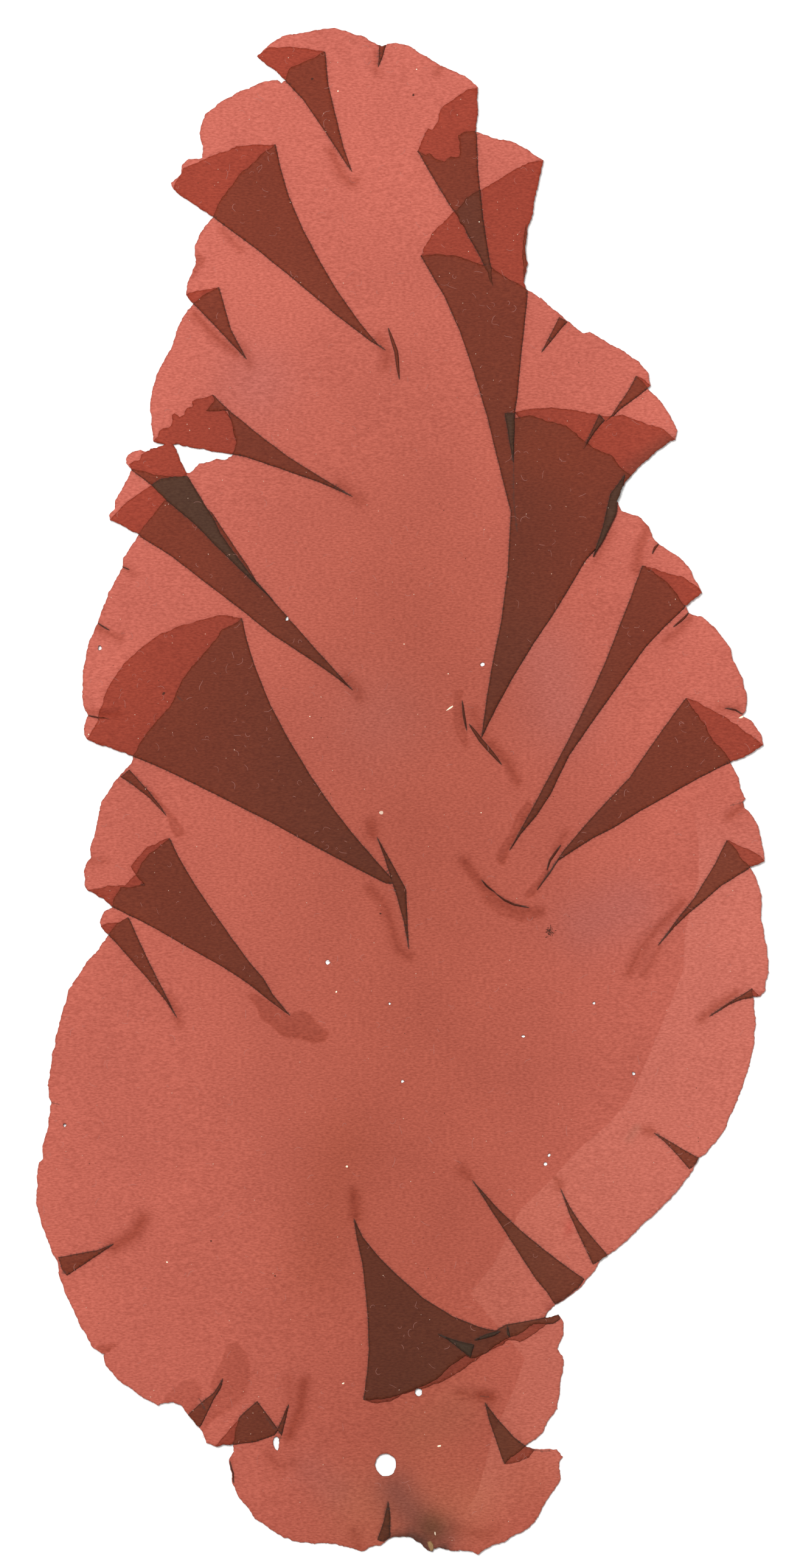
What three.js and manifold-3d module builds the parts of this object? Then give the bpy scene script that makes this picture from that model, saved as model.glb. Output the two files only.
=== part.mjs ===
// Wildemania variegata: one pressed seaweed blade.
//
// The plant is a single thin sheet that grew from the small holdfast at its base. Its margin
// is longer than the sheet inside it, so when the plant was pressed the spare margin was laid
// down in pleats: wedges with their point inward, where the sheet lies over itself in two,
// three or more layers.
//
// Millimetres, +Z up. The blade lies flat, with the holdfast at -Y and the far end at +Y. It
// rests on the flat middle of its underside, and towards the margin it cockles up a little.

import * as THREE from 'three';
import { mergeVertices } from 'three/addons/utils/BufferGeometryUtils.js';
import Module from 'manifold-3d';

const LAYER = 0.6; // thickness of the sheet, and the rise of each layer laid over it
const SET_IN = { 2: 0.35, 3: 0.27, 4: 0.2, 5: 0.13 }; // where a pleat starts inside the sheet
const COCKLE = 1.1; // greatest rise of the margin above the flat middle
const FLAT_CENTRE = [0, -12];
const FLAT_RADII = [26, 48]; // half width and half length of the flat middle
const INNER_STEP = 6.5; // spacing of the points inside an outline
const NUDGE = 0.3; // how far such a point may stand out of its row
const EDGE_STEP = 6; // longest straight run along an outline
const DRAWN_IN = { 2: 0.985, 3: 0.99, 4: 0.95, 5: 0.95 }; // an upper layer stops short by this
const HOLDFAST = [4.3, -114.1];
const HOLDFAST_RADII = [1.2, 1.3, 0.8];

// The margin as it lies, clockwise from the tip of the top left lobe.
const TOP = [
  [-22.1, 111.5], [-20, 113.3], [-18, 114.6], [-15.3, 114.9], [-13.1, 115.5], [-10.05, 115.9],
  [-8, 115.1], [-5.5, 114.4], [-3.2, 113.1], [-0.9, 113.5], [0.9, 113.2], [2.8, 111.9],
  [5.8, 110.1], [7.7, 109.3], [9.6, 108.6], [11.6, 106.8], [11.3, 104.9], [11.5, 103.7],
  [11.3, 100], [14.4, 98.9], [17, 98.4], [19, 97.4], [21.5, 95.7],
];
const RIGHT = [
  [20.7, 92.3], [20, 89], [19.85, 87.6], [19.1, 85], [18.7, 82.5], [19, 79.8], [18.5, 77.05],
  [19.1, 76], [21.1, 74.9], [23, 73.2], [24.8, 71.6], [26.2, 70.4], [27.4, 69.4],
  [28.5, 69.6], [30.2, 68.6], [33.3, 67], [35.9, 65.2], [37.3, 63.5], [37.8, 61.45],
  [37.3, 61.1], [39.2, 59.3], [40.6, 57.2], [41.9, 54.7], [41.5, 53.3], [39.2, 52.1],
  [37, 50], [34.8, 48], [33.4, 46.1], [32.7, 44], [33.3, 42.6], [35.9, 41.7], [37.5, 40],
  [38, 38.6], [39.05, 37.5], [41, 36.3], [42.4, 35.3], [43.8, 33.5], [45.5, 30.1],
  [43.05, 28], [43.6, 26.95], [45.7, 26.4], [48.2, 24], [49.9, 21.7], [50.3, 19.8],
  [51.9, 16.7], [52.4, 13.7], [52.1, 11.4], [53.3, 10.4], [54.5, 8.45], [54.9, 7.05],
  [53.2, 5.8], [51.9, 5.1], [49.8, 4.4], [50.4, 3.2], [51.1, 2], [51.8, -0.8],
  [52.1, -1.2], [51.7, -1.7], [51.9, -2.5], [52.8, -3.2], [54, -5.1], [54.7, -7.7],
  [55.1, -10.55], [52.8, -11.65], [53.5, -12.9], [54.35, -14.7], [54.6, -17.1],
  [54.6, -19.7], [55.2, -22.5], [55.6, -25.3], [55.6, -27.6], [55.1, -30.3], [54.4, -31.2],
  [53.4, -31.3], [53.6, -33.7], [53.7, -36], [53.4, -39.3], [52.8, -41.6], [51.5, -45.1],
  [51, -46.8], [49.9, -49], [49, -51.3], [47.8, -53.2], [46.3, -54.9], [45, -55.7],
  [44.3, -57.4], [43.1, -59.1], [41.7, -60.9], [40.2, -62.3], [38.4, -64.1], [35.9, -66.4],
  [34.3, -68], [32.7, -69.6], [31.2, -70.4], [30.1, -71.15], [29.5, -72.6], [28.2, -73.9],
  [26.9, -75.5], [24.5, -77.5], [23.2, -78.1], [22.1, -79], [21.8, -79.9], [23.9, -79.5],
  [24.45, -80.4], [24.5, -82.1], [24.3, -83.25], [23.6, -84.6], [24.4, -85.8],
  [24.45, -86.9], [24.1, -89.8], [23.9, -92.05], [23.5, -93.8], [22.2, -95.6],
  [21.2, -97.4], [19.9, -98.7], [18.7, -99.45], [20.2, -99.9], [23.5, -99.9], [24.4, -101],
  [24, -101.6], [23.9, -103], [24.2, -104.4], [23.1, -106.1], [21.95, -107.7],
  [20.7, -110], [19.8, -111.3], [18.3, -112.5],
];
const BASE = [
  [16.5, -113.2], [15.5, -114], [13.4, -114.6], [12.5, -115.1], [11.6, -115.9],
  [10.7, -115.5], [8.8, -115.2], [7.55, -115.3], [5.5, -114.8], [4.9, -115], [4.5, -115.4],
  [3.85, -115.3], [2.8, -114.1], [1.4, -113.2], [-1.4, -113.2], [-2, -113.5],
  [-2.65, -114.1], [-3.3, -114.6], [-4.7, -114.75], [-6.1, -115.4], [-7.9, -114.9],
  [-10.2, -114.2], [-13.1, -114.3], [-15.9, -113.9], [-18, -113.3], [-20.6, -111.6],
  [-22.4, -110.4], [-23.2, -109], [-24.8, -107.1], [-25.8, -105.1], [-25.9, -103.5],
  [-26.3, -101.6], [-25.5, -100.2], [-25.6, -99.1], [-28.3, -99.4], [-29.8, -98.9],
  [-30.3, -97.15], [-31.2, -96], [-32.5, -94.6], [-33.4, -93.3], [-34.8, -92.8],
  [-36.3, -93], [-37, -93.3], [-38.9, -92.3], [-41.4, -90.5], [-43.4, -89.1],
  [-44.9, -87.2], [-45.3, -86.3], [-45.2, -85.5], [-47.2, -84.3],
];
const LEFT = [
  [-47.3, -83.6], [-48.8, -81.1], [-50, -78.4], [-51.2, -76], [-51.9, -73.8],
  [-52.3, -71.5], [-53, -70.3], [-54, -67.6], [-54.9, -65.1], [-55.55, -62.5],
  [-55.3, -60], [-55.5, -58.4], [-55, -56.3], [-54.5, -55.8], [-54.5, -53.9],
  [-53.8, -51.3], [-53.5, -48.8], [-53.4, -47.7], [-53.2, -47.15], [-53.6, -46.6],
  [-53.7, -44.7], [-53.1, -40.1], [-52.3, -36.3], [-51.3, -32.7], [-50.55, -30.1],
  [-49.2, -28], [-47.8, -25.8], [-46.5, -24.7], [-44.55, -21.7], [-45.8, -20.45],
  [-45.9, -19.9], [-45.25, -18.3], [-44.05, -17.5], [-45, -16.6], [-47.8, -15],
  [-48.2, -14.3], [-48.3, -12.3], [-47.8, -10.75], [-47.2, -10], [-47.5, -8.85],
  [-46.8, -6.9], [-46.05, -4.25], [-45.6, -1.83], [-44.5, 0.1], [-43.4, 1.6],
  [-42.75, 2.3], [-42, 3.2], [-41.1, 4.4], [-40.9, 5.3], [-42.7, 6], [-44.7, 6.7],
  [-47.9, 7.9], [-48.3, 8.6], [-48.1, 10.75], [-47.7, 11.5], [-48.3, 12.9], [-48.5, 14.2],
  [-48.4, 18.3], [-47.9, 21.1], [-47.3, 23.25], [-46.2, 25.3], [-45.8, 26.7],
  [-44.5, 30.3], [-43.3, 32.3], [-42.4, 33.8], [-42.4, 35.2], [-41, 37.15], [-40, 38.8],
  [-42.1, 40], [-44.3, 41.1], [-44.4, 42], [-43.7, 42.75], [-43.6, 44], [-43, 45.1],
  [-41.8, 47], [-41.1, 48.7], [-41.9, 49.65], [-42, 50.1], [-41.6, 51], [-40.7, 51.5],
  [-39.8, 51.8], [-38.8, 51.5], [-37.6, 52], [-36.06, 52.75], [-37.65, 53], [-38.2, 57.55],
  [-38, 60.6], [-36.7, 64.4], [-34.9, 67.5], [-34.4, 69.5], [-33.1, 72.2], [-31.65, 74],
  [-32.9, 75.3], [-32.6, 77.2], [-31.3, 80], [-31.5, 82.7], [-29.9, 85.9],
  [-28.66, 87.05], [-31.7, 89.1], [-34.66, 91.1], [-35, 92.2], [-33.6, 93.6],
  [-33.3, 95], [-32.5, 95.8], [-30.3, 96.1], [-30.24, 97.85], [-30.7, 99.9],
  [-29.9, 102.6], [-27.9, 104.2], [-25, 105.9], [-22.8, 106.9], [-20.75, 107.7],
  [-19, 107.9], [-18.25, 107.34], [-17.76, 107.8], [-19, 109.1], [-20.4, 110.2],
];
const MARGIN = [...TOP, ...RIGHT, ...BASE, ...LEFT];

// Places where the sheet is worn through, or where two lobes leave a gap between them.
const LOBE_GAP = [
  [-34.8, 52.6], [-33.8, 52.55], [-31.5, 52], [-28.1, 51.4], [-25.6, 51.1], [-26.9, 50.2],
  [-28.2, 50.4], [-28.9, 50], [-30.9, 49.8], [-31.9, 48.7], [-32.3, 48.3], [-32.8, 48.4],
  [-33.2, 49.5], [-34.3, 51.8],
];
const SLIT_HOLE = [
  [-19.4, -98.2], [-19, -98], [-18.6, -98.3], [-18.7, -99.2], [-18.9, -100.1],
  [-19.4, -99.6], [-19.6, -98.7],
];
const ROUND_HOLES = [
  { centre: [-2.45, -102.25], radius: 1.65, corners: 14 },
  { centre: [2.5, -91.3], radius: 0.55, corners: 7 },
];

// The pleats. Each outline is filled up to its number of layers, and where outlines overlap
// the greater number counts. Two layers are margin that sticks out past the pleat's third.
const PLEATS = [
  // top left lobe
  { layers: 2, outline: [
    [-22.1, 111.5], [-20.2, 112.8], [-18.5, 112.9], [-16.2, 112.8], [-13.4, 112.4],
    [-11.66, 112.1], [-13, 106], [-17.76, 107.8], [-19, 109.1], [-20.4, 110.2]] },
  { layers: 3, outline: [
    [-11.66, 112.1], [-11.2, 107], [-9.9, 101.7], [-8.9, 97.6], [-7.6, 94], [-8.8, 95.7],
    [-11.6, 100], [-15, 104.9], [-17.76, 107.8], [-17.1, 109.45], [-14.9, 110.6],
    [-13.1, 111.3]] },
  // upper left
  { layers: 2, outline: [
    [-34.66, 91.1], [-34.4, 92.2], [-33.1, 94.5], [-31, 95.4], [-29.55, 96], [-27.8, 96.9],
    [-26.4, 97.1], [-25.1, 97.8], [-21.3, 98.05], [-19.2, 98.1], [-22, 90], [-28.66, 87.05],
    [-31.7, 89.1]] },
  { layers: 3, outline: [
    [-19.2, 98.1], [-18.5, 94.6], [-17.2, 90.2], [-15, 85.1], [-12.4, 80.2], [-10.05, 76.2],
    [-6.5, 71.1], [-3.7, 67.8], [-2.5, 66.9], [-4.95, 68.4], [-10.05, 72.3], [-17.3, 78.4],
    [-22.3, 82.4], [-28.66, 87.05], [-28, 88.9], [-26.4, 91], [-24.8, 93.4], [-22.8, 95.2],
    [-20.75, 96.95]] },
  // top right
  { layers: 2, outline: [
    [11.6, 106.8], [8.8, 105.5], [6.5, 104], [5.6, 102.05], [4.4, 100.4], [3.1, 98.1],
    [2.4, 97], [8, 93], [11.3, 100], [11.5, 103.7], [11.3, 104.9]] },
  { layers: 3, outline: [
    [2.4, 97], [5, 92.6], [6.65, 89.9], [9.6, 85.1], [12, 80.8], [13.8, 76.5], [13.3, 80.3],
    [12.4, 86], [11.8, 91.1], [11.5, 94.5], [11.3, 100], [8.4, 99.5], [9, 98.1], [9, 96.8],
    [7.6, 96.2], [6.1, 95.4], [4.9, 96.3], [4.1, 96.9]] },
  // upper right, crossed by the one before
  { layers: 2, outline: [
    [21.5, 95.7], [19.5, 95.4], [16.8, 94], [14.2, 92.4], [11.8, 91.1], [10.3, 90.3],
    [7.9, 87.9], [5.2, 85.3], [3.6, 82.9], [2.85, 81.2], [8, 77], [19.1, 76], [18.5, 77.05],
    [19, 79.8], [18.7, 82.5], [19.1, 85], [19.85, 87.6], [20, 89], [20.7, 92.3]] },
  { layers: 3, outline: [
    [2.85, 81.2], [6.5, 75], [8.8, 69.8], [11, 63.4], [12.9, 57], [14.4, 50.9], [16, 44.5],
    [17, 41], [17.2, 49.9], [17.1, 57.4], [17.5, 60.1], [18.1, 66.5], [18.8, 72.9],
    [19.1, 76], [17.3, 77.1], [16.2, 77.65], [13.6, 79.3], [10.3, 80.5], [8.4, 81.2],
    [5.6, 81.5]] },
  { layers: 4, outline: [
    [8, 87.9], [10.3, 90.3], [11.8, 91.1], [12.4, 86], [13.3, 80.3], [13.8, 76.5],
    [12, 80.8], [9.6, 85.1]] },
  // small pleats on the upper right lobe
  { layers: 3, outline: [[23.9, 71.9], [25, 71.2], [21.2, 66.6]] },
  { layers: 2, outline: [[35.65, 62.95], [36.9, 62.4], [37.8, 61.45], [37.3, 61.1], [36, 61.2]] },
  { layers: 3, outline: [
    [35.65, 62.95], [34.3, 60.6], [32, 57.3], [30.9, 56.15], [33.05, 57.9], [35.9, 60],
    [37.3, 61.1], [36.75, 61.9]] },
  { layers: 4, outline: [[30, 57.2], [30.7, 56.3], [29.2, 54.5], [27.5, 51.8], [29, 55.1]] },
  // large right pleat, from the bay to the middle
  { layers: 2, outline: [
    [17.1, 57.4], [19, 57.9], [22.6, 58.2], [24.1, 58], [27.7, 57.55], [30.8, 56.9],
    [33.4, 57], [36.4, 56], [39.7, 54.9], [41.5, 53.3], [39.2, 52.1], [37, 50], [34.8, 48],
    [25, 50]] },
  { layers: 3, outline: [
    [16.5, 56.5], [16.3, 49.9], [16.6, 43.5], [16.1, 33.6], [15.1, 25.7], [13.9, 20.1],
    [12.9, 14.2], [12.1, 8.2], [14.2, 12.5], [17, 17.6], [20, 22.5], [23, 26.9],
    [25.65, 31.3], [27.9, 35.1], [30.5, 37.9], [32.5, 42], [32.7, 44], [33.4, 46.1],
    [34.8, 48], [33.3, 49], [31.8, 50.8], [29, 52.1], [26.8, 53.85], [24.9, 55.4],
    [21.8, 56.3], [19.3, 57]] },
  { layers: 5, outline: [
    [33.8, 48], [32.8, 46.6], [31.65, 45.05], [31.3, 43.5], [30.5, 40], [29, 35.5],
    [30.5, 37.9], [32.5, 42], [32.7, 44], [33.4, 46.1]] },
  { layers: 5, outline: [[15.6, 57.3], [17.1, 57.3], [16.9, 49.9]] },
  // right, below the bay
  { layers: 2, outline: [
    [36.5, 34.2], [38.4, 33.7], [39.9, 33.1], [42.7, 32.4], [44.4, 31.3], [45.5, 30.1],
    [43.05, 28], [38, 31]] },
  { layers: 3, outline: [
    [36.5, 34.2], [34.8, 29.5], [32.9, 24.65], [31, 19.8], [28.8, 14.8], [26.3, 9.7],
    [23.6, 4.5], [20, -2.3], [18, -5.9], [16.35, -9], [18, -6.5], [20.55, -3.5],
    [22.6, -0.3], [25.4, 5.5], [28.5, 10], [32.5, 15.6], [36.9, 21.8], [39.9, 25],
    [43.05, 28], [42, 29.4], [40.2, 31.7], [38.15, 33.3]] },
  { layers: 2, outline: [
    [43.1, 14.1], [45, 13.4], [48.1, 11.8], [50.65, 10.2], [53.2, 8.2], [54.9, 7.05],
    [53.2, 5.8], [51.9, 5.1], [49.8, 4.4], [44, 8]] },
  { layers: 3, outline: [
    [43.1, 14.1], [40.1, 10], [36.5, 4.9], [34.6, 2], [31.3, -1.4], [28.1, -4.9],
    [24.6, -9], [22.85, -11.6], [20.55, -15], [22.2, -12.8], [23.7, -10.5], [26.2, -8.9],
    [28.8, -7.2], [32.5, -5.3], [36.1, -3], [39.9, -0.9], [45, 2], [49.8, 4.4], [49, 5.9],
    [47.2, 7.6], [46.2, 9.7], [44.5, 11.9]] },
  { layers: 2, outline: [
    [49.3, -7.5], [52.4, -8.7], [54.5, -9.9], [55.1, -10.55], [52.8, -11.65],
    [49.5, -11]] },
  { layers: 3, outline: [
    [49.3, -7.5], [47.6, -11], [45.9, -13.8], [44.3, -16.4], [42, -19.2], [38.9, -23.4],
    [41.3, -20.6], [43.5, -18.5], [46.3, -16.2], [48.6, -14.2], [52.8, -11.65],
    [51.7, -10.4], [50.9, -9.1]] },
  { layers: 2, outline: [[53.15, -30], [54.4, -31.2], [53.4, -31.3], [52.4, -30.9]] },
  { layers: 3, outline: [
    [53.15, -30], [51.2, -31.2], [48.9, -32.6], [46.7, -34.2], [49.6, -32.4],
    [51.7, -31.5], [53.4, -31.3]] },
  // lower right, two short and one long
  { layers: 3, outline: [
    [45, -55.7], [42, -54], [39.4, -52.45], [38.3, -51.9], [39.9, -53.2], [42, -55.4],
    [43.6, -57.3], [44.3, -56.9]] },
  { layers: 3, outline: [
    [31.2, -70.4], [29, -67.9], [26.9, -65.3], [25.4, -63], [24.1, -60.4], [25.5, -64.3],
    [26.9, -67.4], [29, -71.8], [30.1, -71.15]] },
  { layers: 3, outline: [
    [10.7, -59.1], [14.7, -63.55], [18, -66.7], [21.8, -69.8], [25.65, -72.7],
    [27.6, -74], [26.7, -75.3], [24.6, -77.2], [23.2, -78], [22, -76], [20.3, -74],
    [17.2, -69.2], [13.7, -63.8]] },
  // the largest of the base, with a tuck of its own
  { layers: 2, outline: [
    [-5.8, -92.4], [-3.7, -92.8], [-1.8, -92.6], [0, -91.6], [3.1, -90.65], [5.6, -89.8],
    [8.3, -88.35], [11.25, -86.3], [13.4, -84.9], [15.2, -84.2], [16.35, -83],
    [18, -83.6], [20.8, -82], [22.1, -80.6], [20, -80.5], [10, -83], [-2, -88]] },
  { layers: 3, outline: [
    [-5.8, -92.4], [-5.3, -88.5], [-5, -84.65], [-5.2, -79.55], [-5.5, -76], [-6, -71.7],
    [-6.9, -67.6], [-7.3, -64.9], [-6, -67.7], [-3.3, -71], [-0.6, -73.6], [3.2, -77],
    [7.8, -79.8], [11.6, -81.3], [14.2, -82], [15.8, -81], [18.3, -80.6], [21.8, -79.9],
    [23.9, -79.5], [24, -80.1], [22.85, -80.8], [20, -80.8], [18.3, -82.1],
    [16.35, -82.9], [14.7, -83.8], [12.65, -85.4], [10.4, -86.1], [9.6, -85.55],
    [6.8, -87.7], [5.1, -89.4], [1.9, -90.8], [-1.8, -92]] },
  { layers: 5, outline: [
    [5.5, -82.4], [8.6, -83.5], [10.9, -84], [10.4, -85.8], [8.8, -84.65], [7, -83.2]] },
  // beside the holdfast
  { layers: 2, outline: [
    [15.5, -102.1], [17.5, -102], [19.15, -101.1], [20.2, -99.9], [18.7, -99.45],
    [16, -100]] },
  { layers: 3, outline: [
    [12.6, -92.8], [14.4, -95.2], [17, -98.05], [18.7, -99.45], [17.2, -100.6],
    [15.5, -102.1], [14.6, -99.45], [13.3, -95.6]] },
  { layers: 3, outline: [
    [-2.1, -107.8], [-1.8, -109.9], [-1.8, -113.1], [-2.8, -113.9], [-3.7, -113.6],
    [-2.8, -110.9]] },
  // lower left cluster
  { layers: 2, outline: [
    [-28.3, -99.4], [-26.6, -97.4], [-24.8, -95.4], [-23.5, -96.5], [-25.6, -99.1]] },
  { layers: 3, outline: [
    [-21.95, -92.6], [-20.5, -94.6], [-18.8, -96.9], [-19.4, -97.7], [-22.3, -98.7],
    [-25.6, -99.1], [-25.3, -97.4], [-24.8, -95.2], [-23.7, -94.1]] },
  { layers: 3, outline: [
    [-17.2, -93.1], [-17.7, -95.4], [-18.3, -97.8], [-18.9, -96.9], [-18.3, -95.6],
    [-17.6, -93.8]] },
  { layers: 3, outline: [
    [-32.5, -94.6], [-30.4, -92.8], [-28.5, -91.3], [-27.2, -89.2], [-27.5, -90.5],
    [-28.7, -92.4], [-29.6, -94.3], [-30.6, -96.4], [-31.2, -96]] },
  { layers: 3, outline: [
    [-52.1, -70.8], [-49.8, -70.3], [-46.3, -69.7], [-43.8, -68.7], [-46.3, -70.4],
    [-49.2, -72.35], [-50.85, -73.45], [-51.6, -72.5]] },
  // left side, from below upward
  { layers: 3, outline: [
    [1.05, -24], [0.8, -19.9], [0.6, -15], [-0.2, -13.4], [-2.1, -10], [-3.8, -7],
    [-2.65, -10.1], [-1.4, -14], [-0.7, -16.1], [0.3, -19.9]] },
  { layers: 2, outline: [
    [-41.5, -19.1], [-43.1, -20], [-45, -20], [-45.8, -20.45], [-44.55, -21.7],
    [-42.5, -21]] },
  { layers: 3, outline: [
    [-41.5, -19.1], [-40.4, -21.7], [-38.9, -25], [-36.6, -29.6], [-34.2, -34.35],
    [-35.8, -31.9], [-38.6, -28.5], [-41.4, -25.3], [-44.55, -21.7], [-43.2, -20.1]] },
  { layers: 2, outline: [
    [-47.8, -15], [-45.75, -14.75], [-44.7, -14.4], [-42.05, -14.3], [-40.5, -12.6],
    [-41.1, -11.4], [-39.8, -9.7], [-38.6, -8.5], [-36.1, -7.4], [-35.3, -7.2],
    [-36, -12], [-44.05, -17.5], [-45, -16.6]] },
  { layers: 3, outline: [
    [-35.3, -7.2], [-34, -9.9], [-31.5, -14.2], [-28.7, -18.3], [-25.6, -22.7],
    [-23.3, -25.8], [-21, -28.5], [-19.7, -30.8], [-17, -34.05], [-20.2, -31.7],
    [-23.3, -29.25], [-27.1, -26.7], [-33, -23.4], [-38.1, -20.45], [-44.05, -17.5],
    [-43.6, -16.1], [-42.7, -14.6], [-40.1, -14.5], [-39.1, -14.4], [-40.5, -12.6],
    [-39.5, -11], [-38.4, -9.5], [-36.4, -8.2]] },
  { layers: 3, outline: [
    [-41.4, 3.25], [-40, 1.65], [-38.6, 0.1], [-36.7, -2.3], [-35.8, -3.7],
    [-38.2, -1.15], [-40, 0.3], [-42.6, 2.2]] },
  { layers: 2, outline: [
    [-47.9, 7.9], [-46.2, 10.4], [-45.8, 12.4], [-44.7, 15.6], [-43.2, 18], [-41.4, 20.1],
    [-39, 22], [-36.8, 23.8], [-33.9, 25], [-31.2, 25.7], [-27.4, 26.7], [-24.3, 26.1],
    [-27, 20], [-40.9, 5.3], [-42.7, 6], [-44.7, 6.7]] },
  { layers: 3, outline: [
    [-24.3, 26.1], [-23.6, 22.9], [-22.5, 19.3], [-20, 13], [-17.1, 7.6], [-13.7, 2],
    [-10.8, -2.2], [-7.75, -6.2], [-4.4, -10.1], [-1.8, -13], [-1.2, -14], [-2.4, -14],
    [-5, -12.7], [-9, -10.6], [-15.4, -7.2], [-20, -4.65], [-26.1, -1.6], [-33.3, 2],
    [-37.6, 4], [-40.9, 5.3], [-39.1, 8.3], [-37.1, 10.75], [-35, 13.2], [-33.4, 16.9],
    [-31, 19.8], [-29.2, 21.8], [-27.4, 24.3]] },
  { layers: 2, outline: [
    [-44.3, 41.1], [-43.3, 42.3], [-41.9, 43.8], [-40.1, 45.05], [-38.1, 46.3], [-34, 46],
    [-32, 42], [-40, 38.8], [-42.1, 40]] },
  { layers: 3, outline: [
    [-28.9, 42.3], [-26.1, 38.05], [-23.7, 34.5], [-21.9, 31.5], [-17.4, 26.4],
    [-13.9, 22.4], [-10.05, 18.15], [-7.5, 15.3], [-10.3, 17.5], [-14.9, 20.7], [-20, 24],
    [-25, 28], [-30, 31.8], [-34.9, 35.6], [-40, 38.8], [-39.35, 39.9], [-37.8, 41.85],
    [-36.8, 43.2], [-36, 44], [-33, 44.5]] },
  // two lobes at the gap, the lower laid over the pleat before
  { layers: 2, outline: [
    [-36.06, 52.75], [-37.6, 52], [-38.8, 51.5], [-39.5, 51], [-39.8, 50.3], [-40.7, 50],
    [-41.5, 49.5], [-41.1, 48.7], [-37, 46.5], [-32.6, 47.5], [-32.8, 48.4], [-33.2, 49.5],
    [-34.3, 51.8], [-34.8, 52.6]] },
  { layers: 3, outline: [
    [-41.1, 48.7], [-40.4, 48.7], [-38.9, 48.5], [-37.8, 48.1], [-36.1, 47.75],
    [-34.5, 47.7], [-35.5, 46.5], [-38, 46.4], [-39.4, 47.5]] },
  { layers: 5, outline: [
    [-38, 46.4], [-36.8, 47.2], [-34.5, 47.7], [-32.6, 47.85], [-31.9, 46.7],
    [-30.06, 43.6], [-28.6, 41.3], [-27.6, 39.1], [-26.3, 37.2], [-23.3, 33.2],
    [-19.5, 28.9], [-24.1, 33.2], [-28, 37], [-31.2, 40.3], [-35.8, 44.2]] },
  { layers: 2, outline: [
    [-37.65, 53], [-36.7, 55.2], [-35.3, 55.15], [-35, 57.2], [-33.8, 57.2], [-32.9, 57.4],
    [-32.9, 58.5], [-31.8, 59.4], [-30.4, 59.7], [-28.8, 60.1], [-24, 54], [-25.6, 51.1],
    [-28.1, 51.4], [-31.5, 52], [-33.8, 52.55], [-34.8, 52.6], [-36.06, 52.75]] },
  { layers: 3, outline: [
    [-28.8, 60.1], [-26.45, 57.9], [-22.3, 54.5], [-17.45, 50.8], [-12.3, 47.6],
    [-7.5, 44.7], [-12.3, 46.8], [-17.45, 48.6], [-23.6, 50.7], [-25.6, 51.1],
    [-25.1, 52.8], [-26.1, 56.7], [-26.45, 57.7], [-29.6, 57.7], [-28.5, 59]] },
  { layers: 2, outline: [
    [-27.8, 76.5], [-31, 75.9], [-32.9, 75.3], [-31.65, 74], [-29, 73.4]] },
  { layers: 3, outline: [
    [-27.8, 76.5], [-26, 70.05], [-23.6, 65.5], [-26.9, 69], [-31.65, 74],
    [-29.9, 75.3]] },
];

// Height of the underside: flat in the middle, then a cockle that grows towards the margin.
function cockle(x, y) {
  const across = (x - FLAT_CENTRE[0]) / FLAT_RADII[0];
  const along = (y - FLAT_CENTRE[1]) / FLAT_RADII[1];
  const growth = THREE.MathUtils.smoothstep(Math.hypot(across, along), 1, 2.3);
  const ripple = 0.6 + 0.25 * Math.sin(x / 7.5 + y / 19) + 0.15 * Math.sin(y / 8.5 - x / 23);
  return COCKLE * growth * ripple;
}

// The outline with extra points, so that no run along it is longer than EDGE_STEP.
function divided(outline) {
  const points = [];
  outline.forEach(([x, y], i) => {
    const [nextX, nextY] = outline[(i + 1) % outline.length];
    const runs = Math.ceil(Math.hypot(nextX - x, nextY - y) / EDGE_STEP);
    for (let k = 0; k < runs; k++) {
      points.push([x + ((nextX - x) * k) / runs, y + ((nextY - y) * k) / runs]);
    }
  });
  return points;
}

// The outline of an upper layer, a little inside the edges that it shares with those below.
function drawnIn(outline, share) {
  const middle = [0, 1].map((i) => outline.reduce((sum, p) => sum + p[i], 0) / outline.length);
  return outline.map((p) => middle.map((m, i) => m + (p[i] - m) * share));
}

function circle({ centre, radius, corners }) {
  const turn = (2 * Math.PI) / corners;
  return Array.from({ length: corners }, (_, i) => [
    centre[0] + radius * Math.cos(i * turn),
    centre[1] + radius * Math.sin(i * turn),
  ]);
}

function area(outline) {
  return THREE.ShapeUtils.area(outline.map(([x, y]) => new THREE.Vector2(x, y)));
}

function isInside([x, y], outline) {
  let inside = false;
  outline.forEach(([ax, ay], i) => {
    const [bx, by] = outline[(i + 1) % outline.length];
    const crosses = ay > y !== by > y && x < ax + ((bx - ax) * (y - ay)) / (by - ay);
    if (crosses) inside = !inside;
  });
  return inside;
}

function distanceTo([x, y], outline) {
  const gaps = outline.map(([ax, ay], i) => {
    const [bx, by] = outline[(i + 1) % outline.length];
    const run = (bx - ax) ** 2 + (by - ay) ** 2;
    const t = THREE.MathUtils.clamp(((x - ax) * (bx - ax) + (y - ay) * (by - ay)) / run, 0, 1);
    return Math.hypot(x - ax - t * (bx - ax), y - ay - t * (by - ay));
  });
  return Math.min(...gaps);
}

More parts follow.
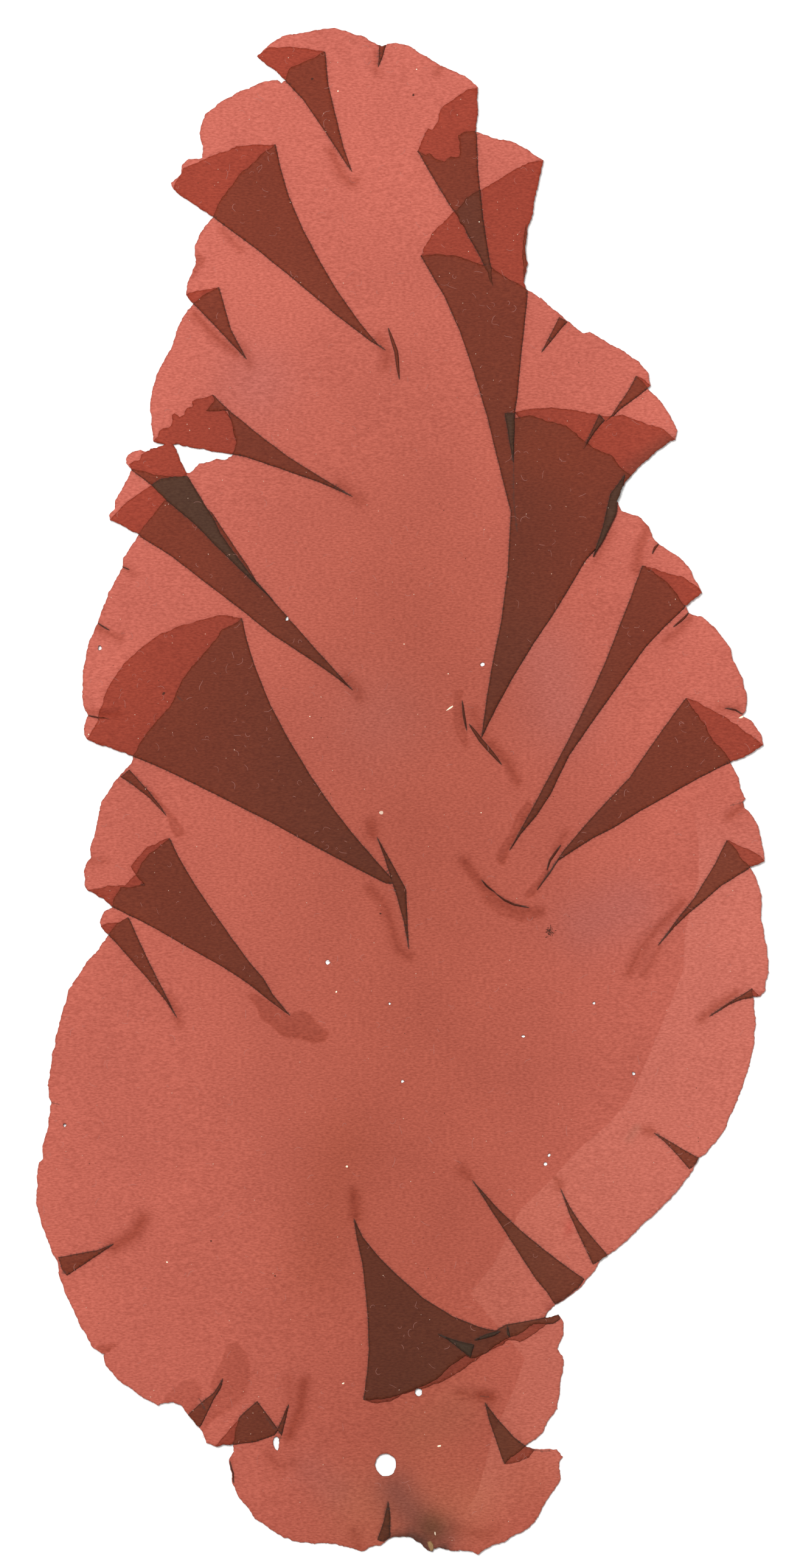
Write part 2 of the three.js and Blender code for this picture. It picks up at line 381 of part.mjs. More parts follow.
// Points in staggered rows inside an outline, clear of it and of its holes. Each is nudged out
// of its row, because a triangulation can skip a point that is exactly in line with two others.
function innerPoints(outline, holes) {
  const points = [];
  const xs = outline.map((p) => p[0]);
  const ys = outline.map((p) => p[1]);
  const rowHeight = INNER_STEP * Math.sqrt(0.75);
  let shift = 0;
  for (let row = Math.min(...ys) + rowHeight / 2; row < Math.max(...ys); row += rowHeight) {
    shift = INNER_STEP / 2 - shift;
    for (let x = Math.min(...xs) + shift; x < Math.max(...xs); x += INNER_STEP) {
      const y = row + NUDGE * Math.sin(x * x + row);
      const clear = [outline, ...holes].every((edge) => distanceTo([x, y], edge) > INNER_STEP / 3);
      const onSheet = isInside([x, y], outline) && !holes.some((hole) => isInside([x, y], hole));
      if (clear && onSheet) points.push([x, y]);
    }
  }
  return points;
}

function turn(a, b, c) {
  return (b[0] - a[0]) * (c[1] - a[1]) - (b[1] - a[1]) * (c[0] - a[0]);
}

// Positive when d lies inside the circle through a, b and c.
function inCircle(a, b, c, d) {
  const [ax, ay, bx, by, cx, cy] = [a, b, c].flatMap((p) => [p[0] - d[0], p[1] - d[1]]);
  return (ax * ax + ay * ay) * (bx * cy - cx * by)
    - (bx * bx + by * by) * (ax * cy - cx * ay)
    + (cx * cx + cy * cy) * (ax * by - bx * ay);
}

// Each side of each triangle, from one corner to the next, with its triangle and far corner.
function sidesOf(triangles) {
  const sides = new Map();
  triangles.forEach((corners, t) => {
    corners.forEach((from, i) => {
      const to = corners[(i + 1) % 3];
      sides.set(`${from} ${to}`, { from, to, t, far: corners[(i + 2) % 3] });
    });
  });
  return sides;
}

// Turns shared sides until the triangles are as even as they can be.
function evenOut(points, triangles) {
  for (let turned = true; turned; ) {
    turned = false;
    const done = new Set();
    const sides = sidesOf(triangles);
    for (const { from, to, t, far } of sides.values()) {
      const other = sides.get(`${to} ${from}`);
      if (!other || done.has(t) || done.has(other.t)) continue;
      const [a, b, c, d] = [from, to, far, other.far].map((i) => points[i]);
      const convex = turn(a, d, c) > 1e-3 && turn(d, b, c) > 1e-3;
      if (!convex || inCircle(a, b, c, d) < 1e-6) continue;
      triangles[t] = [from, other.far, far];
      triangles[other.t] = [other.far, to, far];
      done.add(t).add(other.t);
      turned = true;
    }
  }
}

// A closed plate over an outline, between two heights above the cockled underside. Its upper
// and lower faces are split into the same triangles, so that they never meet.
function plate(wasm, outline, holes, low, high) {
  const rings = [outline, ...holes].map(divided);
  const inner = innerPoints(rings[0], rings.slice(1));
  const points = [...rings.flat(), ...inner];
  const vectors = (ring) => ring.map(([x, y]) => new THREE.Vector2(x, y));
  const inside = [...rings.slice(1).map(vectors), ...inner.map((point) => vectors([point]))];
  const triangles = THREE.ShapeUtils.triangulateShape(vectors(rings[0]), inside)
    .map(([a, b, c]) => (turn(points[a], points[b], points[c]) > 0 ? [a, b, c] : [a, c, b]));
  const filled = triangles.reduce((sum, t) => sum + turn(...t.map((i) => points[i])) / 2, 0);
  const open = rings.slice(1).reduce((sum, ring) => sum + Math.abs(area(ring)), 0);
  if (Math.abs(filled + open - Math.abs(area(rings[0]))) > 0.01) {
    throw new Error(`the outline from ${outline[0]} crosses itself`);
  }
  evenOut(points, triangles);

  const count = points.length;
  const upper = points.flatMap(([x, y]) => [x, y, cockle(x, y) + high]);
  const lower = points.flatMap(([x, y]) => [x, y, cockle(x, y) + low]);
  const faces = [];
  triangles.forEach(([a, b, c]) => faces.push(a, b, c, c + count, b + count, a + count));
  const sides = sidesOf(triangles);
  for (const { from, to } of sides.values()) {
    if (sides.has(`${to} ${from}`)) continue;
    faces.push(from, from + count, to + count, from, to + count, to);
  }
  return solid(wasm, [...upper, ...lower], faces);
}

function solid(wasm, positions, faces) {
  return new wasm.Manifold(new wasm.Mesh({
    numProp: 3,
    vertProperties: new Float32Array(positions),
    triVerts: new Uint32Array(faces),
  }));
}

// The holdfast, a small pad in which the sheet thickens.
function holdfast(wasm) {
  const ball = new THREE.SphereGeometry(1, 12, 8);
  ball.deleteAttribute('normal');
  ball.deleteAttribute('uv');
  const pad = mergeVertices(ball);
  pad.scale(...HOLDFAST_RADII);
  pad.translate(...HOLDFAST, cockle(...HOLDFAST) + LAYER / 2);
  return solid(wasm, pad.attributes.position.array, pad.index.array);
}

const wasm = await Module();
wasm.setup();

const holes = [LOBE_GAP, SLIT_HOLE, ...ROUND_HOLES.map(circle)];
let sheet = plate(wasm, MARGIN, holes, 0, LAYER);
for (const { layers, outline } of PLEATS) {
  const edge = drawnIn(outline, DRAWN_IN[layers]);
  sheet = sheet.add(plate(wasm, edge, [], SET_IN[layers], layers * LAYER));
}
sheet = sheet.add(holdfast(wasm));

const mesh = sheet.getMesh();
const geometry = new THREE.BufferGeometry();
geometry.setAttribute('position', new THREE.BufferAttribute(mesh.vertProperties, 3));
geometry.setIndex(new THREE.BufferAttribute(mesh.triVerts, 1));
geometry.computeBoundingBox();
const middle = geometry.boundingBox.getCenter(new THREE.Vector3());
geometry.translate(-middle.x, -middle.y, -geometry.boundingBox.min.z);

const blade = new THREE.Mesh(
  geometry,
  new THREE.MeshStandardMaterial({ color: 0xc8624f, roughness: 0.7, metalness: 0 }),
);
blade.name = 'blade';

const part = new THREE.Group();
part.add(blade);

export default part;
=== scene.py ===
# Wildemania variegata: the looks of one pressed seaweed blade.
#
# The blade is one thin film. Where its margin was laid down in pleats it lies over itself, and
# each layer more makes it darker. Here the film is split along its folds into fine triangles,
# each of which knows how many layers lie there. That number sets its height and its colour.
#
# Lengths are in millimetres up to the point where a mesh is made, and in metres from there on.

import math
import random

import bpy
import numpy as np
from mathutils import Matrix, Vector, geometry, kdtree, noise


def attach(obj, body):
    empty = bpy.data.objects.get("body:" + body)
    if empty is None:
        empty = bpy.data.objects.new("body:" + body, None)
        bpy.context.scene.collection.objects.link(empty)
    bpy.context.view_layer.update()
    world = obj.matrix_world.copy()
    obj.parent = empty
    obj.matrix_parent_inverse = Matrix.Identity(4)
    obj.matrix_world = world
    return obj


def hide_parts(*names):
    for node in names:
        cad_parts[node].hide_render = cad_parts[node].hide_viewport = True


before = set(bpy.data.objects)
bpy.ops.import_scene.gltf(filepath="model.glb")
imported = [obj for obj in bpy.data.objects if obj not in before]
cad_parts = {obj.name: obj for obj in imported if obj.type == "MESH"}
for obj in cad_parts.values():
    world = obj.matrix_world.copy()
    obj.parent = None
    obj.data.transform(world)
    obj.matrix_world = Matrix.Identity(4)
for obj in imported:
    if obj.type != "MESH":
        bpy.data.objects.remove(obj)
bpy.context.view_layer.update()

MM = 0.001
PHOTO_SIZE = (1320, 2576)  # pixels
PHOTO_SCALE = 50 / 541  # millimetres a pixel
PHOTO_CENTRE = (-0.09, 1.06)

FILM = 0.3  # thickness of the film where it lies singly
LAYER = 0.3  # rise of each layer more
TOP_BEVEL = 0.12  # how far a layer's upper face drops at its edge
BOTTOM_BEVEL = 0.08  # how far the film's lower face rises at its edge
SHARP_ANGLE = 55  # degrees
COCKLE = 1.1  # greatest rise of the margin above the flat middle
FLAT_CENTRE = (0, -12)
FLAT_RADII = (26, 48)  # half width and half length of the flat middle
COCKLE_END = 2.3  # where the rise ends, in those radii
RIPPLE_MEAN = 0.6  # share of the rise that has no ripple
RIPPLES = ((0.25, 7.5, 19), (0.15, -23, 8.5))  # share of the rise, and lengths along x and y

MARGIN_STEP = 0.28  # spacing of the points along the margin
EDGE_STEP = 0.45  # spacing of the points along a fold
ROWS = ((0.1, 0.5), (0.36, 0.8))  # rows beside an edge: distance from it and spacing
INNER_STEP = 1.1  # spacing of the points between the folds
INNER_ROW = 0.87  # spacing of their rows, as a share of that
INNER_FIELD = (116, 236)  # width and height of the field that they fill
INNER_GAP = 0.8  # least distance from them to an edge
ROW_GAP = 0.8  # least distance from a row's point to an edge, as a share of the row's own
UNEVEN = 0.2  # how far a point is moved off its row
EDGE_SAMPLE = 0.08  # spacing of the samples that tell how far an edge is
GAP_SAMPLE = 0.1  # the same for folds and margins
TUCK_STEP = 0.4  # spacing of the points along a tuck
TUCK_TAPER = 0.7  # below 1 is blunter

FRAY_REACH = 0.5  # how far from the margin it frays
# How points are moved: wavelength, distance everywhere, and distance more at the margin.
BROAD_FRAY = (1.6, 0.04, 0.14)
FINE_FRAY = (0.35, 0.01, 0.12)
NOISE_SEED = 21  # makes the ragged margin the same each time

# The margin as it lies, clockwise from the tip of the top left lobe.
TOP = [
  [-22.1, 111.5], [-20, 113.3], [-18, 114.6], [-15.3, 114.9], [-13.1, 115.5], [-10.05, 115.9],
  [-8, 115.1], [-5.5, 114.4], [-3.2, 113.1], [-0.9, 113.5], [0.9, 113.2], [2.8, 111.9], [5.8, 110.1],
  [7.7, 109.3], [9.6, 108.6], [11.6, 106.8], [11.3, 104.9], [11.5, 103.7], [11.3, 100], [14.4, 98.9],
  [17, 98.4], [19, 97.4], [21.5, 95.7],
]
RIGHT = [
  [20.7, 92.3], [20, 89], [19.85, 87.6], [19.1, 85], [18.7, 82.5], [19, 79.8], [18.5, 77.05], [19.1, 76],
  [21.1, 74.9], [23, 73.2], [24.8, 71.6], [26.2, 70.4], [27.4, 69.4], [28.5, 69.6], [30.2, 68.6],
  [33.3, 67], [35.9, 65.2], [37.3, 63.5], [37.8, 61.45], [37.3, 61.1], [39.2, 59.3], [40.6, 57.2],
  [41.9, 54.7], [41.5, 53.3], [39.2, 52.1], [37, 50], [34.8, 48], [33.4, 46.1], [32.7, 44], [33.3, 42.6],
  [35.9, 41.7], [37.5, 40], [38, 38.6], [39.05, 37.5], [41, 36.3], [42.4, 35.3], [43.8, 33.5],
  [45.5, 30.1], [43.05, 28], [43.6, 26.95], [45.7, 26.4], [48.2, 24], [49.9, 21.7], [50.3, 19.8],
  [51.9, 16.7], [52.4, 13.7], [52.2, 12], [51.6, 11.3], [53.3, 10.4], [54.5, 8.45], [54.9, 7.05],
  [53.2, 5.8], [51.9, 5.1], [49.8, 4.4], [50.4, 3.2], [51.1, 2], [51.8, -0.8], [52.1, -1.2], [51.7, -1.7],
  [51.9, -2.5], [52.8, -3.2], [54, -5.1], [54.7, -7.7], [55.1, -10.55], [52.8, -11.65], [53.5, -12.9],
  [54.35, -14.7], [54.6, -17.1], [54.6, -19.7], [55.2, -22.5], [55.6, -25.3], [55.6, -27.6],
  [55.1, -30.3], [54.4, -31.2], [53.4, -31.3], [53.6, -33.7], [53.7, -36], [53.4, -39.3], [52.8, -41.6],
  [51.5, -45.1], [51, -46.8], [49.9, -49], [49, -51.3], [47.8, -53.2], [46.3, -54.9], [45, -55.7],
  [44.3, -57.4], [43.1, -59.1], [41.7, -60.9], [40.2, -62.3], [38.4, -64.1], [35.9, -66.4], [34.3, -68],
  [32.7, -69.6], [31.2, -70.4], [30.1, -71.15], [29.5, -72.6], [28.2, -73.9], [26.9, -75.5],
  [24.5, -77.5], [23.2, -78.1], [22.1, -79], [21.8, -79.9], [23.9, -79.5], [24.45, -80.4], [24.5, -82.1],
  [24.3, -83.25], [23.6, -84.6], [24.4, -85.8], [24.45, -86.9], [24.1, -89.8], [23.9, -92.05],
  [23.5, -93.8], [22.2, -95.6], [21.2, -97.4], [19.9, -98.7], [18.7, -99.45], [20.2, -99.9],
  [23.5, -99.9], [24.4, -101], [24, -101.6], [23.9, -103], [24.2, -104.4], [23.1, -106.1],
  [21.95, -107.7], [20.7, -110], [19.8, -111.3], [18.3, -112.5],
]
BASE = [
  [16.5, -113.2], [15.5, -114], [13.4, -114.6], [12.5, -115.1], [11.6, -115.9], [10.7, -115.5],
  [8.8, -115.2], [7.55, -115.3], [5.5, -114.8], [4.9, -115], [4.5, -115.4], [3.85, -115.3], [2.8, -114.1],
  [1.4, -113.2], [-1.4, -113.2], [-2, -113.5], [-2.65, -114.1], [-3.3, -114.6], [-4.7, -114.75],
  [-6.1, -115.4], [-7.9, -114.9], [-10.2, -114.2], [-13.1, -114.3], [-15.9, -113.9], [-18, -113.3],
  [-20.6, -111.6], [-22.4, -110.4], [-23.2, -109], [-24.8, -107.1], [-25.8, -105.1], [-25.9, -103.5],
  [-26.3, -101.6], [-25.5, -100.2], [-25.6, -99.1], [-28.3, -99.4], [-29.8, -98.9], [-30.3, -97.15],
  [-31.2, -96], [-32.5, -94.6], [-33.4, -93.3], [-34.8, -92.8], [-36.3, -93], [-37, -93.3],
  [-38.9, -92.3], [-41.4, -90.5], [-43.4, -89.1], [-44.9, -87.2], [-45.3, -86.3], [-45.2, -85.5],
  [-47.2, -84.3],
]
LEFT = [
  [-47.3, -83.6], [-48.8, -81.1], [-50, -78.4], [-51.2, -76], [-51.9, -73.8], [-52.3, -71.5],
  [-53, -70.3], [-54, -67.6], [-54.9, -65.1], [-55.55, -62.5], [-55.3, -60], [-55.5, -58.4], [-55, -56.3],
  [-54.5, -55.8], [-54.5, -53.9], [-53.8, -51.3], [-53.5, -48.8], [-53.4, -47.7], [-53.2, -47.15],
  [-53.6, -46.6], [-53.7, -44.7], [-53.1, -40.1], [-52.3, -36.3], [-51.3, -32.7], [-50.55, -30.1],
  [-49.2, -28], [-47.8, -25.8], [-46.5, -24.7], [-44.55, -21.7], [-45.8, -20.45], [-45.9, -19.9],
  [-45.25, -18.3], [-44.05, -17.5], [-45, -16.6], [-47.8, -15], [-48.2, -14.3], [-48.3, -12.3],
  [-47.8, -10.75], [-47.2, -10], [-47.5, -8.85], [-46.8, -6.9], [-46.05, -4.25], [-45.6, -1.83],
  [-44.5, 0.1], [-43.4, 1.6], [-42.75, 2.3], [-42, 3.2], [-41.1, 4.4], [-40.9, 5.3], [-42.7, 6],
  [-44.7, 6.7], [-47.9, 7.9], [-48.3, 8.6], [-48.1, 10.75], [-47.7, 11.5], [-48.3, 12.9], [-48.5, 14.2],
  [-48.4, 18.3], [-47.9, 21.1], [-47.3, 23.25], [-46.2, 25.3], [-45.8, 26.7], [-44.5, 30.3],
  [-43.3, 32.3], [-42.4, 33.8], [-42.4, 35.2], [-41, 37.15], [-40, 38.8], [-42.1, 40], [-44.3, 41.1],
  [-44.4, 42], [-43.7, 42.75], [-43.6, 44], [-43, 45.1], [-41.8, 47], [-41.1, 48.7], [-41.9, 49.65],
  [-42, 50.1], [-41.6, 51], [-40.7, 51.5], [-39.8, 51.8], [-38.8, 51.5], [-37.6, 52], [-36.06, 52.75],
  [-37.65, 53], [-38.2, 57.55], [-38, 60.6], [-36.7, 64.4], [-34.9, 67.5], [-34.4, 69.5], [-33.1, 72.2],
  [-31.65, 74], [-32.9, 75.3], [-32.6, 77.2], [-31.3, 80], [-31.5, 82.7], [-29.9, 85.9], [-28.66, 87.05],
  [-31.7, 89.1], [-34.66, 91.1], [-35, 92.2], [-33.6, 93.6], [-33.3, 95], [-32.5, 95.8], [-30.3, 96.1],
  [-30.24, 97.85], [-30.7, 99.9], [-29.9, 102.6], [-27.9, 104.2], [-25, 105.9], [-22.8, 106.9],
  [-20.75, 107.7], [-19, 107.9], [-18.25, 107.34], [-17.76, 107.8], [-19, 109.1], [-20.4, 110.2],
]
MARGIN = TOP + RIGHT + BASE + LEFT

# Places where the sheet is worn through, or where two lobes leave a gap between them.
LOBE_GAP = [
  [-34.8, 52.6], [-33.8, 52.55], [-31.5, 52], [-28.1, 51.4], [-25.6, 51.1], [-26.9, 50.2], [-28.2, 50.4],
  [-28.9, 50], [-30.9, 49.8], [-31.9, 48.7], [-32.3, 48.3], [-32.8, 48.4], [-33.2, 49.5], [-34.3, 51.8],
]
SLIT_HOLE = [
  [-19.4, -98.2], [-19, -98], [-18.6, -98.3], [-18.7, -99.2], [-18.9, -100.1], [-19.4, -99.6],
  [-19.6, -98.7],
]
ROUND_HOLES = [
  ([-2.45, -102.25], 1.65),
  ([2.5, -91.3], 0.6),
]

# The pleats. Each outline is filled up to its number of layers, and where outlines overlap
# the greater number counts. Two layers are margin that sticks out past the pleat's third.
PLEATS = [
  # top left lobe
  (2, [[-22.1, 111.5], [-20.2, 112.8], [-18.5, 112.9], [-16.2, 112.8], [-13.4, 112.4], [-11.66, 112.1],
    [-13, 106], [-17.76, 107.8], [-19, 109.1], [-20.4, 110.2]]),
  (3, [[-11.66, 112.1], [-11.2, 107], [-9.9, 101.7], [-8.9, 97.6], [-7.6, 94], [-8.8, 95.7], [-11.6, 100],
    [-15, 104.9], [-17.76, 107.8], [-17.1, 109.45], [-14.9, 110.6], [-13.1, 111.3]]),
  # upper left
  (2, [[-34.66, 91.1], [-34.4, 92.2], [-33.1, 94.5], [-31, 95.4], [-29.55, 96], [-27.8, 96.9],
    [-26.4, 97.1], [-25.1, 97.8], [-21.3, 98.05], [-19.2, 98.1], [-22, 90], [-28.66, 87.05],
    [-31.7, 89.1]]),
  (3, [[-19.2, 98.1], [-18.5, 94.6], [-17.2, 90.2], [-15, 85.1], [-12.4, 80.2], [-10.05, 76.2],
    [-6.5, 71.1], [-3.7, 67.8], [-2.5, 66.9], [-4.95, 68.4], [-10.05, 72.3], [-17.3, 78.4], [-22.3, 82.4],
    [-28.66, 87.05], [-28, 88.9], [-26.4, 91], [-24.8, 93.4], [-22.8, 95.2], [-20.75, 96.95]]),
  # top right
  (2, [[11.6, 106.8], [9.7, 106.2], [7.9, 104.9], [6.45, 104], [5.65, 103.1], [5.4, 101.6], [4.6, 100.3],
    [3.9, 100.5], [3.3, 99.4], [2.9, 98], [2.4, 97.05], [8, 93], [11.3, 100], [11.5, 103.7],
    [11.3, 104.9]]),
  (3, [[2.4, 97.05], [5, 92.6], [6.65, 89.9], [9.6, 85.1], [12, 80.8], [13.8, 76.5], [13.3, 80.3],
    [12.4, 86], [11.8, 91.1], [11.5, 94.5], [11.3, 100], [9.4, 100], [8.5, 99.4], [8.8, 98.3],
    [8.9, 96.9], [8.5, 96.1], [7.4, 96.2], [6.4, 95.5], [5.2, 95.8], [4.25, 96.8], [3.5, 96.5]]),
  (3, [[-3.4, 113.5], [-2.4, 113.6], [-3, 111.4], [-3.6, 109.9]]),
  # upper right, crossed by the one before
  (2, [[21.5, 95.7], [19.5, 95.4], [16.8, 94], [14.2, 92.4], [11.8, 91.1], [10.3, 90.3], [7.9, 87.9],
    [5.2, 85.3], [3.6, 82.9], [2.85, 81.2], [8, 77], [19.1, 76], [18.5, 77.05], [19, 79.8], [18.7, 82.5],
    [19.1, 85], [19.85, 87.6], [20, 89], [20.7, 92.3]]),
  (3, [[2.85, 81.2], [6.5, 75], [8.8, 69.8], [11, 63.4], [12.9, 57], [14.4, 50.9], [16, 44.5], [17, 41],
    [17.2, 49.9], [17.1, 57.4], [17.5, 60.1], [18.1, 66.5], [18.8, 72.9], [19.1, 76], [17.3, 77.1],
    [16.2, 77.65], [13.6, 79.3], [10.3, 80.5], [8.4, 81.2], [5.6, 81.5]]),
  (4, [[8, 87.9], [10.3, 90.3], [11.8, 91.1], [12.4, 86], [13.3, 80.3], [13.8, 76.5], [12, 80.8],
    [9.6, 85.1]]),
  # small pleats on the upper right lobe
  (3, [[23.9, 71.9], [25, 71.2], [21.2, 66.6]]),
  (2, [[35.65, 62.95], [36.9, 62.4], [37.8, 61.45], [37.3, 61.1], [36, 61.2]]),
  (3, [[35.65, 62.95], [34.3, 60.6], [32, 57.3], [30.9, 56.15], [33.05, 57.9], [35.9, 60], [37.3, 61.1],
    [36.75, 61.9]]),
  (4, [[30, 57.2], [30.7, 56.3], [29.2, 54.5], [27.5, 51.8], [29, 55.1]]),
  # large right pleat, from the bay to the middle
  (2, [[17.1, 57.4], [19, 57.9], [22.6, 58.2], [24.1, 58], [27.7, 57.55], [30.8, 56.9], [33.4, 57],
    [36.4, 56], [39.7, 54.9], [41.5, 53.3], [39.2, 52.1], [37, 50], [34.8, 48], [25, 50]]),
  (3, [[16.5, 56.5], [16.3, 49.9], [16.6, 43.5], [16.1, 33.6], [15.1, 25.7], [13.9, 20.1], [12.9, 14.2],
    [12.1, 8.2], [14.2, 12.5], [17, 17.6], [20, 22.5], [23, 26.9], [25.65, 31.3], [27.9, 35.1],
    [30.5, 37.9], [32.5, 42], [32.7, 44], [33.4, 46.1], [34.8, 48], [33.3, 49], [31.8, 50.8], [29, 52.1],
    [26.8, 53.85], [24.9, 55.4], [21.8, 56.3], [19.3, 57]]),
  (5, [[33.8, 48], [32.8, 46.6], [31.65, 45.05], [31.3, 43.5], [30.5, 40], [29, 35.5], [30.5, 37.9],
    [32.5, 42], [32.7, 44], [33.4, 46.1]]),
  (5, [[15.6, 57.3], [17.1, 57.3], [16.9, 49.9]]),
  # right, below the bay
  (2, [[36.5, 34.2], [38.4, 33.7], [39.9, 33.1], [42.7, 32.4], [44.4, 31.3], [45.5, 30.1], [43.05, 28],
    [38, 31]]),
  (3, [[36.5, 34.2], [34.8, 29.5], [32.9, 24.65], [31, 19.8], [28.8, 14.8], [26.3, 9.7], [23.6, 4.5],
    [20, -2.3], [18, -5.9], [16.35, -9], [18, -6.5], [20.55, -3.5], [22.6, -0.3], [25.4, 5.5], [28.5, 10],
    [32.5, 15.6], [36.9, 21.8], [39.9, 25], [43.05, 28], [42, 29.4], [40.2, 31.7], [38.15, 33.3]]),
  (2, [[43.1, 14.1], [45, 13.4], [48.1, 11.8], [50.65, 10.2], [53.2, 8.2], [54.9, 7.05], [53.2, 5.8],
    [51.9, 5.1], [49.8, 4.4], [44, 8]]),
  (3, [[43.1, 14.1], [40.1, 10], [36.5, 4.9], [34.6, 2], [31.3, -1.4], [28.1, -4.9], [24.6, -9],
    [22.85, -11.6], [20.55, -15], [22.2, -12.8], [23.7, -10.5], [26.2, -8.9], [28.8, -7.2], [32.5, -5.3],
    [36.1, -3], [39.9, -0.9], [45, 2], [49.8, 4.4], [49, 5.9], [47.2, 7.6], [46.2, 9.7], [44.5, 11.9]]),
  (2, [[49.3, -7.5], [52.4, -8.7], [54.5, -9.9], [55.1, -10.55], [52.8, -11.65], [49.5, -11]]),
  (3, [[49.3, -7.5], [47.6, -11], [45.9, -13.8], [44.3, -16.4], [42, -19.2], [38.9, -23.4], [41.3, -20.6],
    [43.5, -18.5], [46.3, -16.2], [48.6, -14.2], [52.8, -11.65], [51.7, -10.4], [50.9, -9.1]]),
  (2, [[53.15, -30], [54.4, -31.2], [53.4, -31.3], [52.4, -30.9]]),
  (3, [[53.15, -30], [51.2, -31.2], [48.9, -32.6], [46.7, -34.2], [49.6, -32.4], [51.7, -31.5],
    [53.4, -31.3]]),
  # lower right, two short and one long
  (3, [[45, -55.7], [42, -54], [39.4, -52.45], [38.3, -51.9], [39.9, -53.2], [42, -55.4], [43.6, -57.3],
    [44.3, -56.9]]),
  (3, [[31.2, -70.4], [29, -67.9], [26.9, -65.3], [25.4, -63], [24.1, -60.4], [25.5, -64.3],
    [26.9, -67.4], [29, -71.8], [30.1, -71.15]]),
  (3, [[10.7, -59.1], [14.7, -63.55], [18, -66.7], [21.8, -69.8], [25.65, -72.7], [27.6, -74],
    [26.7, -75.3], [24.6, -77.2], [23.2, -78], [22, -76], [20.3, -74], [17.2, -69.2], [13.7, -63.8]]),
  # the largest of the base, with a tuck of its own
  (2, [[-5.8, -92.4], [-3.7, -92.8], [-1.8, -92.6], [0, -91.6], [3.1, -90.65], [5.6, -89.8],
    [8.3, -88.35], [11.25, -86.3], [12.9, -85.1], [15.2, -84.1], [16.1, -83.3], [17.4, -83.3],
    [18, -83.6], [19.3, -82.9], [21.2, -81.6], [22, -80.8], [23.4, -80.2], [20, -80.5], [10, -83],
    [-2, -88]]),
  (3, [[-5.8, -92.4], [-5.3, -88.5], [-5, -84.65], [-5.2, -79.55], [-5.5, -76], [-6, -71.7],
    [-6.9, -67.6], [-7.3, -64.9], [-6, -67.7], [-3.3, -71], [-0.6, -73.6], [3.2, -77], [7.8, -79.8],
    [11.6, -81.3], [14.2, -82], [15.8, -81], [18.3, -80.6], [21.8, -79.9], [23.9, -79.5], [24, -80.1],
    [22.85, -80.8], [20, -80.8], [18.3, -82.1], [16.35, -82.9], [14.7, -83.8], [12.65, -85.4],
    [10.4, -86.1], [9.6, -85.55], [6.8, -87.7], [5.1, -89.4], [1.9, -90.8], [-1.8, -92]]),
  (5, [[5.5, -82.4], [8.6, -83.5], [10.9, -84], [10.4, -85.8], [8.8, -84.65], [7, -83.2]]),
  (5, [[11, -83.3], [12.9, -82.35], [14.9, -82], [14, -82.6], [12.3, -83.05]]),
  (5, [[16, -81.1], [16.3, -82.1], [16.4, -82.9], [16, -82.4]]),
  # beside the holdfast
  (2, [[15.5, -102.1], [17.5, -102], [19.15, -101.1], [20.2, -99.9], [18.7, -99.45], [16, -100]]),
  (3, [[12.6, -92.8], [14.4, -95.2], [17, -98.05], [18.7, -99.45], [17.2, -100.6], [15.5, -102.1],
    [14.6, -99.45], [13.3, -95.6]]),
  (3, [[-2.1, -107.8], [-1.8, -109.9], [-1.8, -113.1], [-2.8, -113.9], [-3.7, -113.6], [-2.8, -110.9]]),
  # lower left cluster
  (2, [[-28.3, -99.4], [-26.6, -97.4], [-24.8, -95.4], [-23.5, -96.5], [-25.6, -99.1]]),
  (3, [[-21.95, -92.6], [-20.5, -94.6], [-18.8, -96.9], [-19.4, -97.7], [-22.3, -98.7], [-25.6, -99.1],
    [-25.3, -97.4], [-24.8, -95.2], [-23.7, -94.1]]),
  (3, [[-17.2, -93.1], [-17.7, -95.4], [-18.3, -97.8], [-18.9, -96.9], [-18.3, -95.6], [-17.6, -93.8]]),
  (3, [[-32.5, -94.6], [-30.4, -92.8], [-28.5, -91.3], [-27.2, -89.2], [-27.5, -90.5], [-28.7, -92.4],
    [-29.6, -94.3], [-30.6, -96.4], [-31.2, -96]]),
  (3, [[-52.1, -70.8], [-49.8, -70.3], [-46.3, -69.7], [-43.8, -68.7], [-46.3, -70.4], [-49.2, -72.35],
    [-50.85, -73.45], [-51.6, -72.5]]),
  # left side, from below upward
  (3, [[1.05, -24], [0.8, -19.9], [0.6, -15], [-0.2, -13.4], [-2.1, -10], [-3.8, -7], [-2.65, -10.1],
    [-1.4, -14], [-0.7, -16.1], [0.3, -19.9]]),
  (2, [[-41.5, -19.1], [-43.1, -20], [-45, -20], [-45.8, -20.45], [-44.55, -21.7], [-42.5, -21]]),
  (3, [[-41.5, -19.1], [-40.4, -21.7], [-38.9, -25], [-36.6, -29.6], [-34.2, -34.35], [-35.8, -31.9],
    [-38.6, -28.5], [-41.4, -25.3], [-44.55, -21.7], [-43.2, -20.1]]),
  (2, [[-47.8, -15], [-45.75, -14.75], [-44.7, -14.4], [-42.05, -14.3], [-40.5, -12.6], [-41.1, -11.4],
    [-39.8, -9.7], [-38.6, -8.5], [-36.1, -7.4], [-35.3, -7.2], [-36, -12], [-44.05, -17.5],
    [-45, -16.6]]),
  (3, [[-35.3, -7.2], [-34, -9.9], [-31.5, -14.2], [-28.7, -18.3], [-25.6, -22.7], [-23.3, -25.8],
    [-21, -28.5], [-19.7, -30.8], [-17, -34.05], [-20.2, -31.7], [-23.3, -29.25], [-27.1, -26.7],
